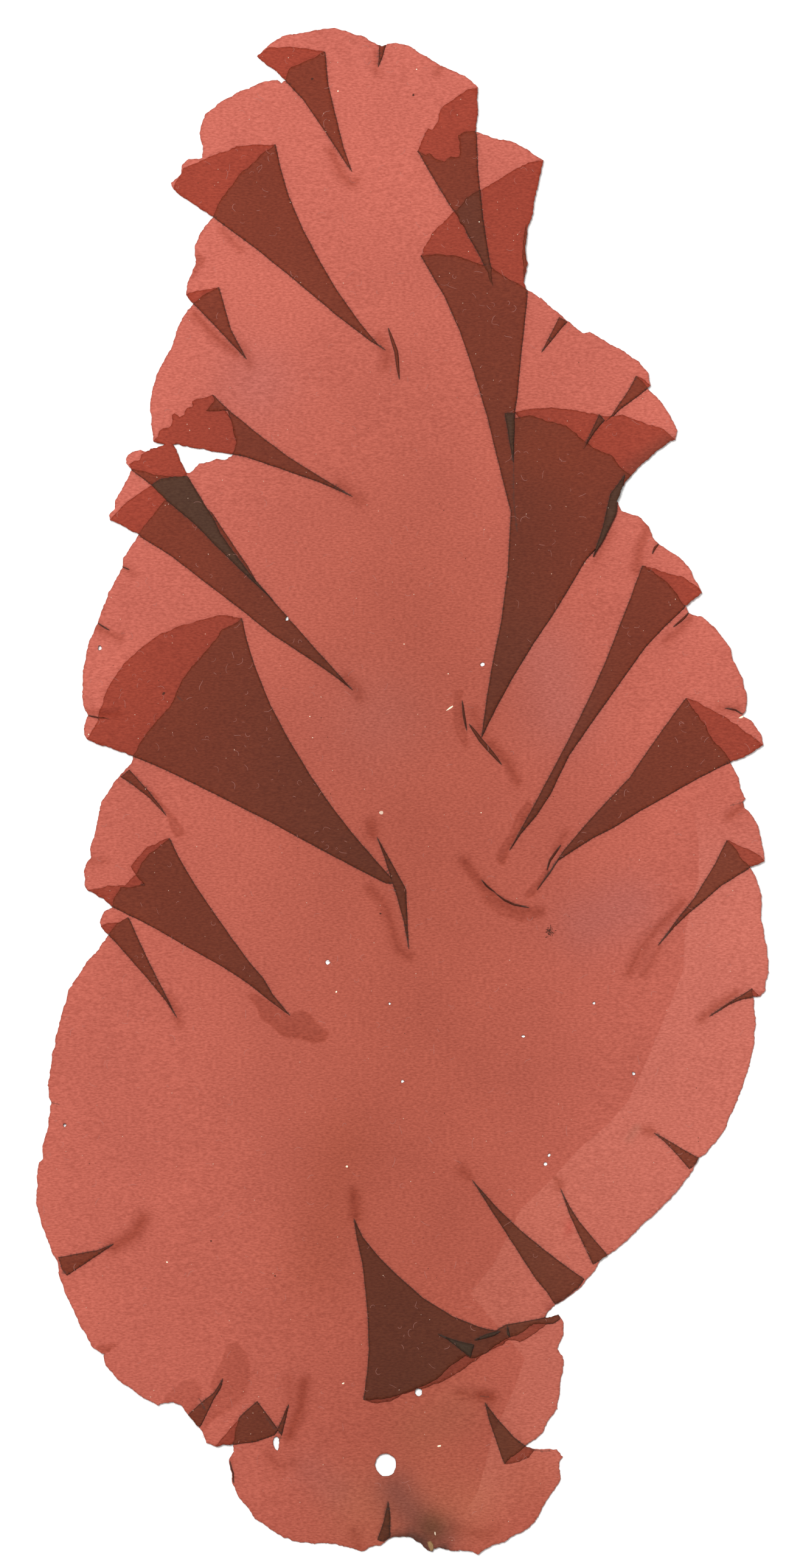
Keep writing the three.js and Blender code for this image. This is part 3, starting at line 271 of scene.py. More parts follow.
    [-33, -23.4], [-38.1, -20.45], [-44.05, -17.5], [-43.6, -16.1], [-42.7, -14.6], [-40.1, -14.5],
    [-39.1, -14.4], [-40.5, -12.6], [-39.5, -11], [-38.4, -9.5], [-36.4, -8.2]]),
  (3, [[-41.4, 3.25], [-40, 1.65], [-38.6, 0.1], [-36.7, -2.3], [-35.8, -3.7], [-38.2, -1.15], [-40, 0.3],
    [-42.6, 2.2]]),
  (2, [[-47.9, 7.9], [-46.2, 10.4], [-45.8, 12.4], [-44.7, 15.6], [-43.2, 18], [-41.4, 20.1], [-39, 22],
    [-36.8, 23.8], [-33.9, 25], [-31.2, 25.7], [-27.4, 26.7], [-24.3, 26.1], [-27, 20], [-40.9, 5.3],
    [-42.7, 6], [-44.7, 6.7]]),
  (3, [[-24.3, 26.1], [-23.6, 22.9], [-22.5, 19.3], [-20, 13], [-17.1, 7.6], [-13.7, 2], [-10.8, -2.2],
    [-7.75, -6.2], [-4.4, -10.1], [-1.8, -13], [-1.2, -14], [-2.4, -14], [-5, -12.7], [-9, -10.6],
    [-15.4, -7.2], [-20, -4.65], [-26.1, -1.6], [-33.3, 2], [-37.6, 4], [-40.9, 5.3], [-39.1, 8.3],
    [-37.1, 10.75], [-35, 13.2], [-33.4, 16.9], [-31, 19.8], [-29.2, 21.8], [-27.4, 24.3]]),
  (2, [[-44.3, 41.1], [-43.3, 42.3], [-41.9, 43.8], [-40.1, 45.05], [-38.1, 46.3], [-34, 46], [-32, 42],
    [-40, 38.8], [-42.1, 40]]),
  (3, [[-28.9, 42.3], [-26.1, 38.05], [-23.7, 34.5], [-21.9, 31.5], [-17.4, 26.4], [-13.9, 22.4],
    [-10.05, 18.15], [-7.5, 15.3], [-10.3, 17.5], [-14.9, 20.7], [-20, 24], [-25, 28], [-30, 31.8],
    [-34.9, 35.6], [-40, 38.8], [-39.35, 39.9], [-37.8, 41.85], [-36.8, 43.2], [-36, 44], [-33, 44.5]]),
  # two lobes at the gap, the lower laid over the pleat before
  (2, [[-36.06, 52.75], [-37.6, 52], [-38.8, 51.5], [-39.5, 51], [-39.8, 50.3], [-40.7, 50],
    [-41.5, 49.5], [-41.1, 48.7], [-37, 46.5], [-32.6, 47.5], [-32.8, 48.4], [-33.2, 49.5], [-34.3, 51.8],
    [-34.8, 52.6]]),
  (3, [[-41.1, 48.7], [-40.4, 48.7], [-38.9, 48.5], [-37.8, 48.1], [-36.1, 47.75], [-34.5, 47.7],
    [-35.5, 46.5], [-38, 46.4], [-39.4, 47.5]]),
  (5, [[-38, 46.4], [-36.8, 47.2], [-34.5, 47.7], [-32.6, 47.85], [-31.9, 46.7], [-30.06, 43.6],
    [-28.6, 41.3], [-27.6, 39.1], [-26.3, 37.2], [-23.3, 33.2], [-19.5, 28.9], [-24.1, 33.2], [-28, 37],
    [-31.2, 40.3], [-35.8, 44.2]]),
  (2, [[-37.65, 53], [-37, 53.8], [-36.8, 54.6], [-36.2, 55.1], [-35.3, 55.1], [-34.9, 55.9], [-35, 56.9],
    [-34.5, 57.3], [-33.8, 56.7], [-33.1, 57.1], [-32.7, 58.1], [-31.8, 58.3], [-31.8, 59.2],
    [-31.1, 59.5], [-29.9, 59.5], [-28.8, 60.1], [-24, 54], [-25.6, 51.1], [-28.1, 51.4], [-31.5, 52],
    [-33.8, 52.55], [-34.8, 52.6], [-36.06, 52.75]]),
  (3, [[-28.8, 60.1], [-26.45, 57.9], [-22.3, 54.5], [-17.45, 50.8], [-12.3, 47.6], [-7.5, 44.7],
    [-12.3, 46.8], [-17.45, 48.6], [-23.6, 50.7], [-25.6, 51.1], [-25.1, 52.8], [-26.1, 56.7],
    [-26.45, 57.7], [-29.6, 57.7], [-28.5, 59]]),
  (2, [[-27.8, 76.5], [-31, 75.9], [-32.9, 75.3], [-31.65, 74], [-29, 73.4]]),
  (3, [[-27.8, 76.5], [-26, 70.05], [-23.6, 65.5], [-26.9, 69], [-31.65, 74], [-29.9, 75.3]]),
]

PINHOLES = [
  ([-45.96, 21.7], 0.28), ([-17.45, 26.2], 0.28), ([12.3, 19.2], 0.36), ([-11.3, -26], 0.34),
  ([-1.9, -32.3], 0.2), ([29.25, -32.2], 0.24), ([18.5, -37.3], 0.19), ([35.1, -42.9], 0.27),
  ([0, -44.1], 0.26), ([-51.2, -50.7], 0.24), ([22.4, -55.2], 0.24), ([21.8, -56.6], 0.26),
]

# Narrow tucks that no margin reaches: the line of each, and its greatest width.
TUCKS = [
  ([[-2.1, 70.3], [-0.9, 66.7], [-0.4, 62.5]], 0.5),
  ([[18.95, 86], [18.6, 83], [18.6, 80.5], [18.5, 77.6]], 0.5),
  ([[-42.5, 34], [-41.4, 33.6]], 0.16),
  ([[-46.2, 25.4], [-44.4, 24.4]], 0.17),
  ([[-47.8, 11.4], [-46, 11.2], [-44.4, 11]], 0.2),
  ([[-26.1, -101.7], [-25.7, -103.4], [-25.6, -105]], 0.2),
  ([[9.16, 13.7], [9.4, 11.4], [9.85, 9.2]], 0.28),
  ([[10.2, 10.2], [11.9, 7.8], [15.15, 4]], 0.6),
  ([[24.1, -8.2], [22.5, -10.5], [22, -12]], 0.25),
  ([[39.05, 37.5], [38.4, 36.9], [38, 36]], 0.25),
  ([[43.6, 27], [42.4, 25.9], [41.2, 24.9]], 0.24),
  ([[49, 12.6], [50.6, 12.3], [51.8, 11.6]], 0.18),
  ([[12.1, -13.5], [12.9, -14.45], [14.2, -15.4]], 0.22),
  ([[14.2, -15.5], [15.6, -16.6], [17, -17.2], [19.3, -17.7]], 0.24),
]

# Creases, each a thin dark line.
CREASES = [
  [[-34.1, 14.3], [-33.3, 13.75]],
  [[16.95, 50], [17, 44], [17.2, 41.5], [17.5, 39.4]],
  [[-18.1, -97.2], [-18.6, -98.6]],
  [[51.7, -1.7], [49.9, -2.2]],
  [[-53.2, -47.15], [-52, -47.6]],
  [[11.85, -91.8], [12.4, -91.9], [13.2, -91.95]],
  [[18.9, -99.7], [20.2, -100.1], [22.4, -100.15]],
  [[-30.8, -92.2], [-29.8, -93.9]],
  [[-20.7, -94.9], [-19.7, -96.2], [-19.1, -97]],
  [[-45.1, -85.4], [-45.1, -86.1]],
]

# Where the film is puckered: the line, half its width and its strength. The strength sets how far it
# rises and how much painted shade darkens it.
SHADED_PUCKERS = [
  ([[-10.8, 97], [-9.2, 93.4], [-7.8, 92.3], [-7, 92.6]], 0.7, 0.65),
  ([[-4.1, 112], [-4, 109.3]], 0.45, 0.5),
  ([[5.9, 110], [5.2, 108.8]], 0.5, 0.5),
  ([[-27.4, 85.2], [-24.6, 82.2]], 0.5, 0.5),
  ([[-31.5, 72.4], [-28.2, 68.9], [-25.2, 66.4]], 0.55, 0.75),
  ([[31.8, 39.3], [29.3, 34.7]], 0.5, 0.4),
  ([[37.2, 40], [36.2, 37.5], [35.5, 33.5]], 0.8, 0.65),
  ([[-42.2, 33.8], [-40.6, 32.9]], 0.5, 0.4),
  ([[-46.6, 24.9], [-42.8, 23.2]], 0.6, 0.6),
  ([[-47.7, 12.1], [-43.3, 11.9]], 0.5, 0.6),
  ([[-47.4, -10.2], [-45.2, -10.6]], 0.6, 0.4),
  ([[48.1, 12.8], [51, 12.4]], 0.6, 0.5),
  ([[52, -1.9], [49.6, -3.8]], 0.6, 0.7),
  ([[43.8, 26.3], [41.8, 24.3], [40, 23]], 0.5, 0.6),
  ([[-3.5, 68.6], [-2.4, 66.2], [-2.6, 64.6]], 0.9, 0.6),
  ([[-24.4, 67.5], [-23.2, 64.8]], 0.9, 0.5),
  ([[-9.6, 46.6], [-6.4, 44.1]], 1.0, 0.5),
  ([[-8.5, 17.2], [-6.8, 15.4], [-6.4, 14.2]], 0.9, 0.6),
  ([[-35.5, -31.2], [-34.4, -33.1], [-33.9, -35.3]], 0.5, 0.6),
  ([[-5, -14.7], [-3, -16.6], [-1.8, -20], [-0.5, -24], [1, -25]], 0.8, 0.6),
  ([[-4.8, -4.8], [-4.6, -6.4]], 0.9, 0.7),
  ([[10.7, 12.3], [11.5, 10], [12.5, 8.5]], 0.7, 0.5),
  ([[13.4, 7.4], [15.4, 5.2], [16.7, 3], [17.5, 1.4]], 0.7, 0.7),
  ([[24.7, -6.2], [23.4, -8.7]], 0.7, 0.5),
  ([[42.5, -16.9], [38.6, -20.8], [36.1, -24], [34.4, -27.5]], 0.55, 0.65),
  ([[38.9, -23.6], [37.9, -25.8], [36.5, -27.9]], 0.55, 0.5),
  ([[50.6, -30.7], [47.8, -32.5], [45.3, -34.6]], 0.6, 0.7),
  ([[37.9, -51.7], [37, -51.4]], 0.7, 0.7),
  ([[24, -60], [23.5, -58.9]], 0.5, 0.7),
  ([[10.1, -58.4], [9.1, -57.4]], 0.8, 0.6),
  ([[-7.4, -60.8], [-7.1, -64.5]], 0.9, 0.75),
  ([[-43.8, -69], [-42, -68], [-40.65, -67], [-39.4, -64.8]], 1.2, 0.8),
  ([[8.6, -91.1], [11.8, -91.6]], 0.6, 0.5),
  ([[11.7, -91.5], [13.5, -91.9]], 0.9, 0.9),
  ([[8.1, -111.7], [12.4, -112.7], [14.2, -112]], 0.9, 0.35),
  ([[-7.3, -112.4], [-6.6, -114.4]], 1.0, 0.4),
  ([[9.3, -10.5], [11.8, -13.9], [14.4, -16.5], [17.2, -18.1], [20.8, -18.2]], 0.8, 0.75),
  ([[-14.9, -89.5], [-15.5, -93.5], [-17.2, -97.7]], 0.9, 0.8),
  ([[-23.6, -88.6], [-24.7, -91], [-26.9, -93.3]], 0.8, 0.45),
  ([[-20.4, -100.6], [-18.9, -102.2], [-16.4, -102]], 1.1, 0.35),
  ([[-17.2, -88.9], [-16.8, -92.9]], 0.6, 0.4),
]

# Creased areas with painted shade, darker up to a clear edge, that also rise a little: their strength and
# outline.
SHADES = [
  (0.6, [[-31.2, 82.4], [-29.5, 80.6], [-30.8, 78.6], [-32.3, 77.1], [-31.6, 79.7]]),
  (0.6, [[-40.9, 3.7], [-39.3, 1.6], [-37.1, -0.6], [-35.5, -2.5], [-34.1, -4.1], [-32.4, -6.8],
    [-34.4, -7.2], [-35.3, -5.8], [-35.9, -3.6], [-38.4, -0.8], [-41.3, 3.2]]),
  (0.6, [[-23.8, -31], [-22.2, -32.9], [-21.7, -34.5], [-20, -35.6], [-18.9, -36.9], [-17.6, -37.6],
    [-15.7, -37.7], [-13.5, -38.4], [-11.6, -38.2], [-10.8, -36.6], [-12.9, -35], [-13.8, -33.7],
    [-15.1, -33.1], [-16.5, -33.4], [-17.1, -34], [-19, -32.6], [-21, -31.2], [-22.6, -30.4]]),
  (0.45, [[7.8, 15.4], [7.6, 12.3], [7.5, 10.4], [8.2, 8.4], [9.1, 6.9], [9.9, 5.7], [10.2, 7.3],
    [9.8, 9.2], [9.3, 11.5], [9.1, 13.8], [9.5, 15.4], [8.7, 15.6]]),
  (0.6, [[19.3, -0.6], [17.2, -3.6], [16.4, -6], [15.1, -8], [14.1, -9.6], [14.3, -10.8], [15.5, -11.6],
    [16.4, -9.7], [16.3, -9.1], [18, -5.9], [20, -2.3]]),
  (0.6, [[22.4, -10.7], [20.9, -12.8], [18.7, -15.1], [18.2, -16.6], [20.3, -16.1], [20.8, -15],
    [22.4, -12.6]]),
  (0.4, [[8.9, -10.2], [10.1, -12], [11.2, -14.9], [12.4, -17.2], [14.7, -19], [18.2, -20.1],
    [20.9, -19.5], [22, -19], [22, -17.2], [19.7, -17.7], [17, -17.1], [14.9, -16], [12.7, -14.3],
    [11.2, -12], [9.5, -10.2]]),
  (0.7, [[-47.2, -84.2], [-43.9, -83.5], [-42.9, -84], [-44.4, -85.2], [-45.2, -85.5]]),
  (0.4, [[-36.7, -92.8], [-35.6, -91.1], [-34.1, -89.9], [-32.6, -89], [-31.3, -89.1], [-30.2, -90.4],
    [-30.2, -91.6], [-31.3, -93.7], [-32.5, -94.8], [-33.9, -93.2]]),
  (0.45, [[-30.2, -98.2], [-29.8, -97.1], [-28.8, -95.7], [-26.8, -94.4], [-25, -93.2], [-23.7, -91.6],
    [-23, -89.9], [-22.85, -87.8], [-23.1, -86.3], [-24, -84.4], [-25.4, -83.2], [-26.8, -84],
    [-27.5, -86.3], [-28.8, -88.6], [-29.3, -90.4], [-28.4, -91.4], [-29.6, -94.3], [-30.7, -96.3]]),
]

# A faint edge in the film, from the right margin to the base; to its right it is lighter.
SECTOR_LINE = [
  [43.9, -0.5], [45, -8], [45, -13], [42.9, -21.5], [42.7, -27], [40.8, -32], [37.4, -40.3], [34.3, -47],
  [31.3, -50.5], [26.7, -54.4], [22.6, -59], [18, -63.4], [13.9, -71.7], [10.3, -76.3], [18.6, -86.1],
  [16.9, -90.9], [13.8, -97.4], [11.6, -105.9], [9, -110.5],
]

BESIDE_SECTOR = [[70, -111], [70, 0]]  # corners that close the lighter area, off the blade
SECTOR_EDGE = 0.05  # gap between the line and the lighter film
SECTOR_FADE = 40  # how far the lighter film reaches

# Stains, and one band of painted shade, each with its line or point, its reach and the colour that the
# film is multiplied by.
STAINS_AND_SHADE = [
  ([[22, 20], [24, 12]], 6, (248, 262, 276)),
  ([[28, -20], [34.5, -17.5]], 5, (246, 258, 272)),
  ([[-3.3, 11]], 8, (250, 262, 272)),
  ([[-22, 62]], 6, (250, 260, 270)),
  ([[-14, -103], [-10, -106]], 3, (246, 254, 262)),
  ([[20, -105]], 5, (243, 238, 229)),
  ([[-13, -72], [-9, -54]], 6, (243, 239, 230)),
  ([[-6, -109], [9, -109]], 6, (258, 277, 267)),
  ([[3, -97], [8, -94]], 5, (245, 257, 250)),
  ([[20, 52], [26, 51]], 4.5, (272, 270, 264)),
  ([[-1, -106], [0.8, -108.6], [2.2, -110.5], [4, -112.4], [5.5, -113]], 3.2, (203, 214, 228)),
  ([[4.6, -111.7]], 2.5, (200, 218, 190)),
  ([[-1.4, -113.4], [1.4, -113], [2.9, -113.9], [4.4, -115.5], [6.5, -115]], 0.8, (166, 194, 204)),
  # painted shade: a darker band along the fold of the large right pleat
  ([[35, 48.8], [37.5, 50.8], [40.5, 53]], 1.3, (218, 240, 245)),
  ([[25.4, -65.4], [25.2, -67]], 0.5, (250, 218, 218)),
  ([[35.7, -51.2], [34.6, -53.1]], 0.5, (240, 255, 252)),
  ([[22, -78.4], [24.3, -77.2]], 0.6, (234, 224, 224)),
]
SHADE_EDGE = 0.45  # how soft the edge of a darker area is
RELIEF = 0.25  # greatest rise of a pucker
THICK_MIDDLE = (2, 31)  # where the film is thickest, and how far that reaches to either side
THICK_BASE = ((4, -100), (12, 18))  # centre and radii of the thick film about the holdfast
FOLD_LINE = 0.1  # half the width of the dark line along a fold

# Small things on the film: place, half length, half width and, if any, heading in degrees.
PALE_FLAKES = [
  ([-10, -30.5], 0.17, 0.13, 60), ([7.3, 12.6], 0.7, 0.13, 33), ([5.6, -99.4], 0.3, 0.15, 15),
  ([-8.95, -89.9], 0.22, 0.12, 20), ([-8.4, -57], 0.18, 0.16), ([-35.7, -71.5], 0.15, 0.13),
  ([5, -112.65], 0.28, 0.08, 95), ([-9.74, 106.2], 0.13, 0.12), ([11.7, 86.3], 0.1, 0.08),
  ([2.2, 109.5], 0.11, 0.1), ([-47.6, 8.6], 0.1, 0.1), ([51.5, 11.2], 0.4, 0.18, 20),
  ([-14, 11.3], 0.1, 0.08), ([-13.6, 8.1], 0.09, 0.07), ([0.3, 22.3], 0.1, 0.08), ([7, 17.8], 0.1, 0.08),
  ([12, -3.3], 0.1, 0.08),
]
DARK_SPECKS = [
  ([-3.3, -18.6], 0.15, 0.13), ([-19.3, -73.6], 0.16, 0.12, 80), ([-29, -68.3], 0.15, 0.13),
  ([-36.2, 14.8], 0.3, 0.18, 40), ([-13.65, 108], 0.22, 0.18), ([1.7, 105.6], 0.24, 0.17, 70),
  ([-12.3, 11.1], 0.1, 0.08),
]
PALE_SCALE = ([-3.2, -3.3], 0.34, 0.3)
SPECK_CLUSTER = ([22.4, -21.4], 0.34)  # place and spread of a cluster of the smallest specks
HOLDFAST = ([4.35, -114.5], 0.95, 0.42, 112)

# Colours, 0 to 255: of one to five layers where the film is thin and where it is thick, and
# the tints that these are multiplied by.
THIN_COLOURS = [(198, 106, 91), (156, 63, 45), (125, 53, 34), (103, 49, 32), (80, 50, 35)]
THICK_COLOURS = [(158, 77, 58), (113, 51, 36), (75, 40, 24), (66, 42, 28), (50, 41, 30)]
CLOUD_TINT = (243, 240, 240)
GRAIN_TINT = (216, 201, 196)
BRIGHT_TINT = (268, 284, 290)
# painted shade of puckers and creases
PUCKER_SHADE_TINT = (206, 176, 156)
FOLD_COLOUR = (56, 44, 39)
FIBRE_COLOUR = (196, 142, 132)
PALE_COLOUR = (208, 180, 160)
FLAKE_COLOUR = (242, 228, 202)
DARK_COLOUR = (74, 40, 31)
HOLDFAST_COLOUR = (140, 108, 74)
FLOOR_COLOUR = (252, 252, 251)

CLOUD_SCALE = 60  # waves a metre
GRAIN_SCALE = 3000
GRAIN_STRETCH = (0.6, 1.5, 1)
RIM_STRENGTH = 0.12
FOLD_STRENGTH = 0.75
PLEAT_DUST = 2.5  # how much more of the dust lies on the pleats
FIBRES = 700
PALE_GRAINS = 420
DARK_GRAINS = 110
CLUSTER_GRAINS = 80


def cockle(x, y):
    """Height of the underside: flat in the middle, then a cockle that grows to the margin."""
    away = np.hypot((x - FLAT_CENTRE[0]) / FLAT_RADII[0], (y - FLAT_CENTRE[1]) / FLAT_RADII[1])
    ripple = sum(share * np.sin(x / across + y / along) for share, across, along in RIPPLES)
    return COCKLE * smooth(away, 1, COCKLE_END) * (RIPPLE_MEAN + ripple)


def smooth(value, low, high):
    """0 at low, 1 at high and smooth between them."""
    t = np.clip((value - low) / (high - low), 0, 1)
    return t * t * (3 - 2 * t)


def circle(centre, radius, corners):
    """The corners of a circle."""
    angles = [2 * math.pi * k / corners for k in range(corners)]
    return [[centre[0] + radius * math.cos(a), centre[1] + radius * math.sin(a)] for a in angles]


def runs_of(line, closed):
    """The straight runs of a line, from point to point."""
    return list(zip(line, line[1:] + line[:1] if closed else line[1:]))


def divided(line, step, closed=True):
    """The line with extra points, so that no run along it is longer than step."""
    points = []
    for (x, y), (next_x, next_y) in runs_of(line, closed):
        count = max(1, math.ceil(math.hypot(next_x - x, next_y - y) / step))
        for k in range(count):
            t = k / count
            points.append((x + (next_x - x) * t, y + (next_y - y) * t))
    return points if closed else points + [tuple(line[-1])]


def beside(line, distance, step, closed):
    """Points at a distance to either side of a line and around its corners."""
    points = []
    for (x, y), (next_x, next_y) in runs_of(line, closed):
        length = math.hypot(next_x - x, next_y - y)
        across = ((y - next_y) / length * distance, (next_x - x) / length * distance)
        count = max(1, round(length / step))
        for k in range(count):
            t = (k + 0.5) / count
            px, py = x + (next_x - x) * t, y + (next_y - y) * t
            points += [[px + across[0], py + across[1]], [px - across[0], py - across[1]]]
    for corner in line:
        points += circle(corner, distance, 7)
    return points


def lens(line, width):
    """The outline of a tuck that is pointed at both ends of its line."""
    sides = ([], [])
    points = divided(line, TUCK_STEP, closed=False)
    for k in range(1, len(points) - 1):
        (ax, ay), (bx, by) = points[k - 1], points[k + 1]
        length = math.hypot(bx - ax, by - ay)
        half = width / 2 * math.sin(math.pi * k / (len(points) - 1)) ** TUCK_TAPER
        x, y = points[k]
        across = ((ay - by) / length * half, (bx - ax) / length * half)
        sides[0].append([x + across[0], y + across[1]])
        sides[1].append([x - across[0], y - across[1]])
    return [line[0], *sides[0], line[-1], *reversed(sides[1])]


def tree_of(points):
    """A tree that finds the nearest of the points."""
    tree = kdtree.KDTree(len(points))
    for i, (x, y) in enumerate(points):
        tree.insert((x, y, 0), i)
    tree.balance()
    return tree


def inside(points, outline):
    """For each point, whether it lies inside the outline."""
    x, y = points[:, 0], points[:, 1]
    result = np.zeros(len(points), bool)
    for (ax, ay), (bx, by) in runs_of(outline, True):
        if ay != by:
            crossing = ax + (bx - ax) * (y - ay) / (by - ay)
            result ^= ((ay > y) != (by > y)) & (x < crossing)
    return result


def distance_to(points, line, closed=False):
    """Distance of each point from a line, or from a single point."""
    best = np.full(len(points), 1e9)
    for a, b in runs_of(line, closed) or [(line[0], line[0])]:
        a, b = np.array(a), np.array(b)
        t = np.clip((points - a) @ (b - a) / max((b - a) @ (b - a), 1e-9), 0, 1)
        gap = points - a - t[:, None] * (b - a)
        best = np.minimum(best, np.hypot(gap[:, 0], gap[:, 1]))
    return best


# What the film is cut by and laid over with.
HOLES = [LOBE_GAP, SLIT_HOLE]
HOLES += [circle(centre, radius, 24) for centre, radius in ROUND_HOLES]
HOLES += [circle(centre, radius, 10) for centre, radius in PINHOLES]
LAID_OVER = PLEATS + [(3, lens(line, width)) for line, width in TUCKS]


def lines_in_film():
    """The lines that the triangles follow, each with whether it is closed."""
    lines = [(line, True) for line in [MARGIN, *HOLES]]
    lines += [(outline, True) for layers, outline in LAID_OVER]
    lines += [(outline, True) for strength, outline in SHADES]
    lines += [(line, False) for line in [*CREASES, SECTOR_LINE]]
    return lines + [(line, False) for line, half_width, strength in SHADED_PUCKERS]


def inner_points(edge_tree):
    """Points between the folds, in staggered rows and a little uneven."""
    points = []
    width, height = INNER_FIELD
    for row in range(round(height / INNER_STEP / INNER_ROW)):
        for column in range(round(width / INNER_STEP)):
            x = -width / 2 + (column + row % 2 / 2) * INNER_STEP
            y = -height / 2 + row * INNER_STEP * INNER_ROW
            x += UNEVEN * math.sin(7 * x + 3 * y)
            y += UNEVEN * math.sin(5 * x - 4 * y)
            if edge_tree.find((x, y, 0))[2] > INNER_GAP:
                points.append((x, y))
    return points


def split_film():
    """The film as triangles that follow its lines, and how many layers lie on each."""
    lines = lines_in_film()
    points = []
    edges = []
    for line, is_closed in lines:
        first = len(points)
        points += divided(line, MARGIN_STEP if line is MARGIN else EDGE_STEP, is_closed)
        edges += [(i, i + 1) for i in range(first, len(points) - 1)]
        if is_closed:
            edges.append((len(points) - 1, first))

    samples = [p for line, is_closed in lines for p in divided(line, EDGE_SAMPLE, is_closed)]
    edge_tree = tree_of(samples)
    for distance, step in ROWS:
        for line, is_closed in lines:
            for x, y in beside(line, distance, step, is_closed):
                if edge_tree.find((x, y, 0))[2] > ROW_GAP * distance:
                    points.append((x, y))
    points += inner_points(edge_tree)

    made = geometry.delaunay_2d_cdt([Vector(p) for p in points], edges, [], 0, 1e-4, False)
    points = np.array([tuple(p) for p in made[0]])
    triangles = np.array(made[2])
    middles = points[triangles].mean(axis=1)
    on_film = inside(middles, MARGIN)
    for hole in HOLES:
        on_film &= ~inside(middles, hole)
    triangles, middles = triangles[on_film], middles[on_film]
    layers = np.ones(len(triangles), int)
    for count, outline in LAID_OVER:
        layers = np.where(inside(middles, outline), np.maximum(layers, count), layers)
    return points, triangles, layers


def gaps_from_edges(points, triangles, layers):
    """How far each point is from a fold and from a margin.

    Across a fold the number of layers changes by two. Across a margin, also one that lies over
    or under other layers, it changes by one."""
    sides = {}
    for (a, b, c), count in zip(triangles.tolist(), layers.tolist()):
        for side in ((a, b), (b, c), (c, a)):
            sides[side] = count
    folds = [points[[a, b]].tolist() for (a, b), count in sides.items()
             if (b, a) in sides and abs(count - sides[(b, a)]) in (2, 4)]
    margins = [points[[a, b]].tolist() for (a, b), count in sides.items()
               if (b, a) not in sides or (count - sides[(b, a)]) % 2]
    gaps = []
    for runs in (folds + CREASES, margins):
        tree = tree_of([p for run in runs for p in divided(run, GAP_SAMPLE, closed=False)])
        gaps.append(np.array([tree.find((x, y, 0))[2] for x, y in points]))
    return gaps


def frayed(points, margin_gap):
    """The points moved a little, so that margins are ragged and folds aren't ruled lines."""
    noise.seed_set(NOISE_SEED)
    moved = points.copy()
    for i, (x, y) in enumerate(points):
        near = math.exp(-((margin_gap[i] / FRAY_REACH) ** 2))
        for height, (length, everywhere, at_margin) in ((0, BROAD_FRAY), (5, FINE_FRAY)):
            push = noise.noise_vector((x / length, y / length, height))
            moved[i] += (everywhere + at_margin * near) * np.array(push[:2])
    return moved


def slab(name, keep, low, high, film):
    """The kept triangles as a closed slab between two heights above the underside."""
    points, triangles, layers, marks = film
    triangles, layers = triangles[keep], layers[keep]
    used, corners = np.unique(triangles, return_inverse=True)
    corners = corners.reshape(-1, 3).tolist()
    count = len(used)
    sides = {}
    for t, (a, b, c) in enumerate(corners):
        for side in ((a, b), (b, c), (c, a)):
            sides[side] = t
    open_sides = [(a, b, t) for (a, b), t in sides.items() if (b, a) not in sides]
    at_edge = np.zeros(count)
    at_edge[[a for a, b, t in open_sides]] = 1

    x, y = points[used].T
    rise = cockle(x, y) + marks["relief"][used]
    top = rise + high - at_edge * TOP_BEVEL
    bottom = rise + low + at_edge * (BOTTOM_BEVEL if low == 0 else 0)
    places = np.concatenate([np.column_stack([x, y, top]), np.column_stack([x, y, bottom])])
    faces = corners + [(c + count, b + count, a + count) for a, b, c in corners]
    faces += [(a, a + count, b + count, b) for a, b, t in open_sides]
    face_layers = np.concatenate([layers, layers, layers[[t for a, b, t in open_sides]]])

    mesh = bpy.data.meshes.new(name)
    mesh.from_pydata((places * MM).tolist(), [], faces)
    mesh.attributes.new("layers", "FLOAT", "FACE").data.foreach_set("value", face_layers)
    for mark, values in marks.items():
        kept = np.concatenate([values[used], values[used]])
        if kept.ndim == 1:
            mesh.attributes.new(mark, "FLOAT", "POINT").data.foreach_set("value", kept)
        else:
            mesh.attributes.new(mark, "FLOAT_VECTOR", "POINT").data.foreach_set("vector", kept.ravel())
    mesh.shade_smooth()
    mesh.set_sharp_from_angle(angle=math.radians(SHARP_ANGLE))
    return placed(name, mesh)


def placed(name, mesh):
    """The mesh as an object in the scene."""
    piece = bpy.data.objects.new(name, mesh)
    bpy.context.scene.collection.objects.link(piece)
    return piece


def brightness(points):
    """1 just right of the sector line, less with distance, and 0 to its left."""
    x, y = points.T
    gap = distance_to(points, SECTOR_LINE)
    right = inside(points, SECTOR_LINE + BESIDE_SECTOR) & (gap > SECTOR_EDGE)
    ends = smooth(y, -112, -104) * smooth(-y, 0, 12)
    return np.where(right, ends * np.exp(-gap / SECTOR_FADE), 0)


def stained_and_shaded(points):
    """For each point the linear colour that the film is multiplied by: stains, and one band of painted
    shade.
    """
    colour = np.ones((len(points), 3))
    for line, reach, tint in STAINS_AND_SHADE:
        near = np.exp(-((distance_to(points, line) / reach) ** 2))
        colour *= 1 + near[:, None] * (np.array(linear(*tint)[:3]) - 1)
    return colour


def puckered_and_shaded(points):
    """How strongly each point is puckered or creased, which sets its rise and its painted shade."""
    pucker_and_shade = np.zeros(len(points))
    for line, half_width, strength in SHADED_PUCKERS:
        near = np.exp(-((distance_to(points, line) / half_width) ** 2))
        pucker_and_shade = np.maximum(pucker_and_shade, strength * near)
    for strength, outline in SHADES:
        depth = smooth(distance_to(points, outline, closed=True), 0, SHADE_EDGE)
        pucker_and_shade = np.maximum(pucker_and_shade, np.where(inside(points, outline), strength * depth, 0))
    return pucker_and_shade


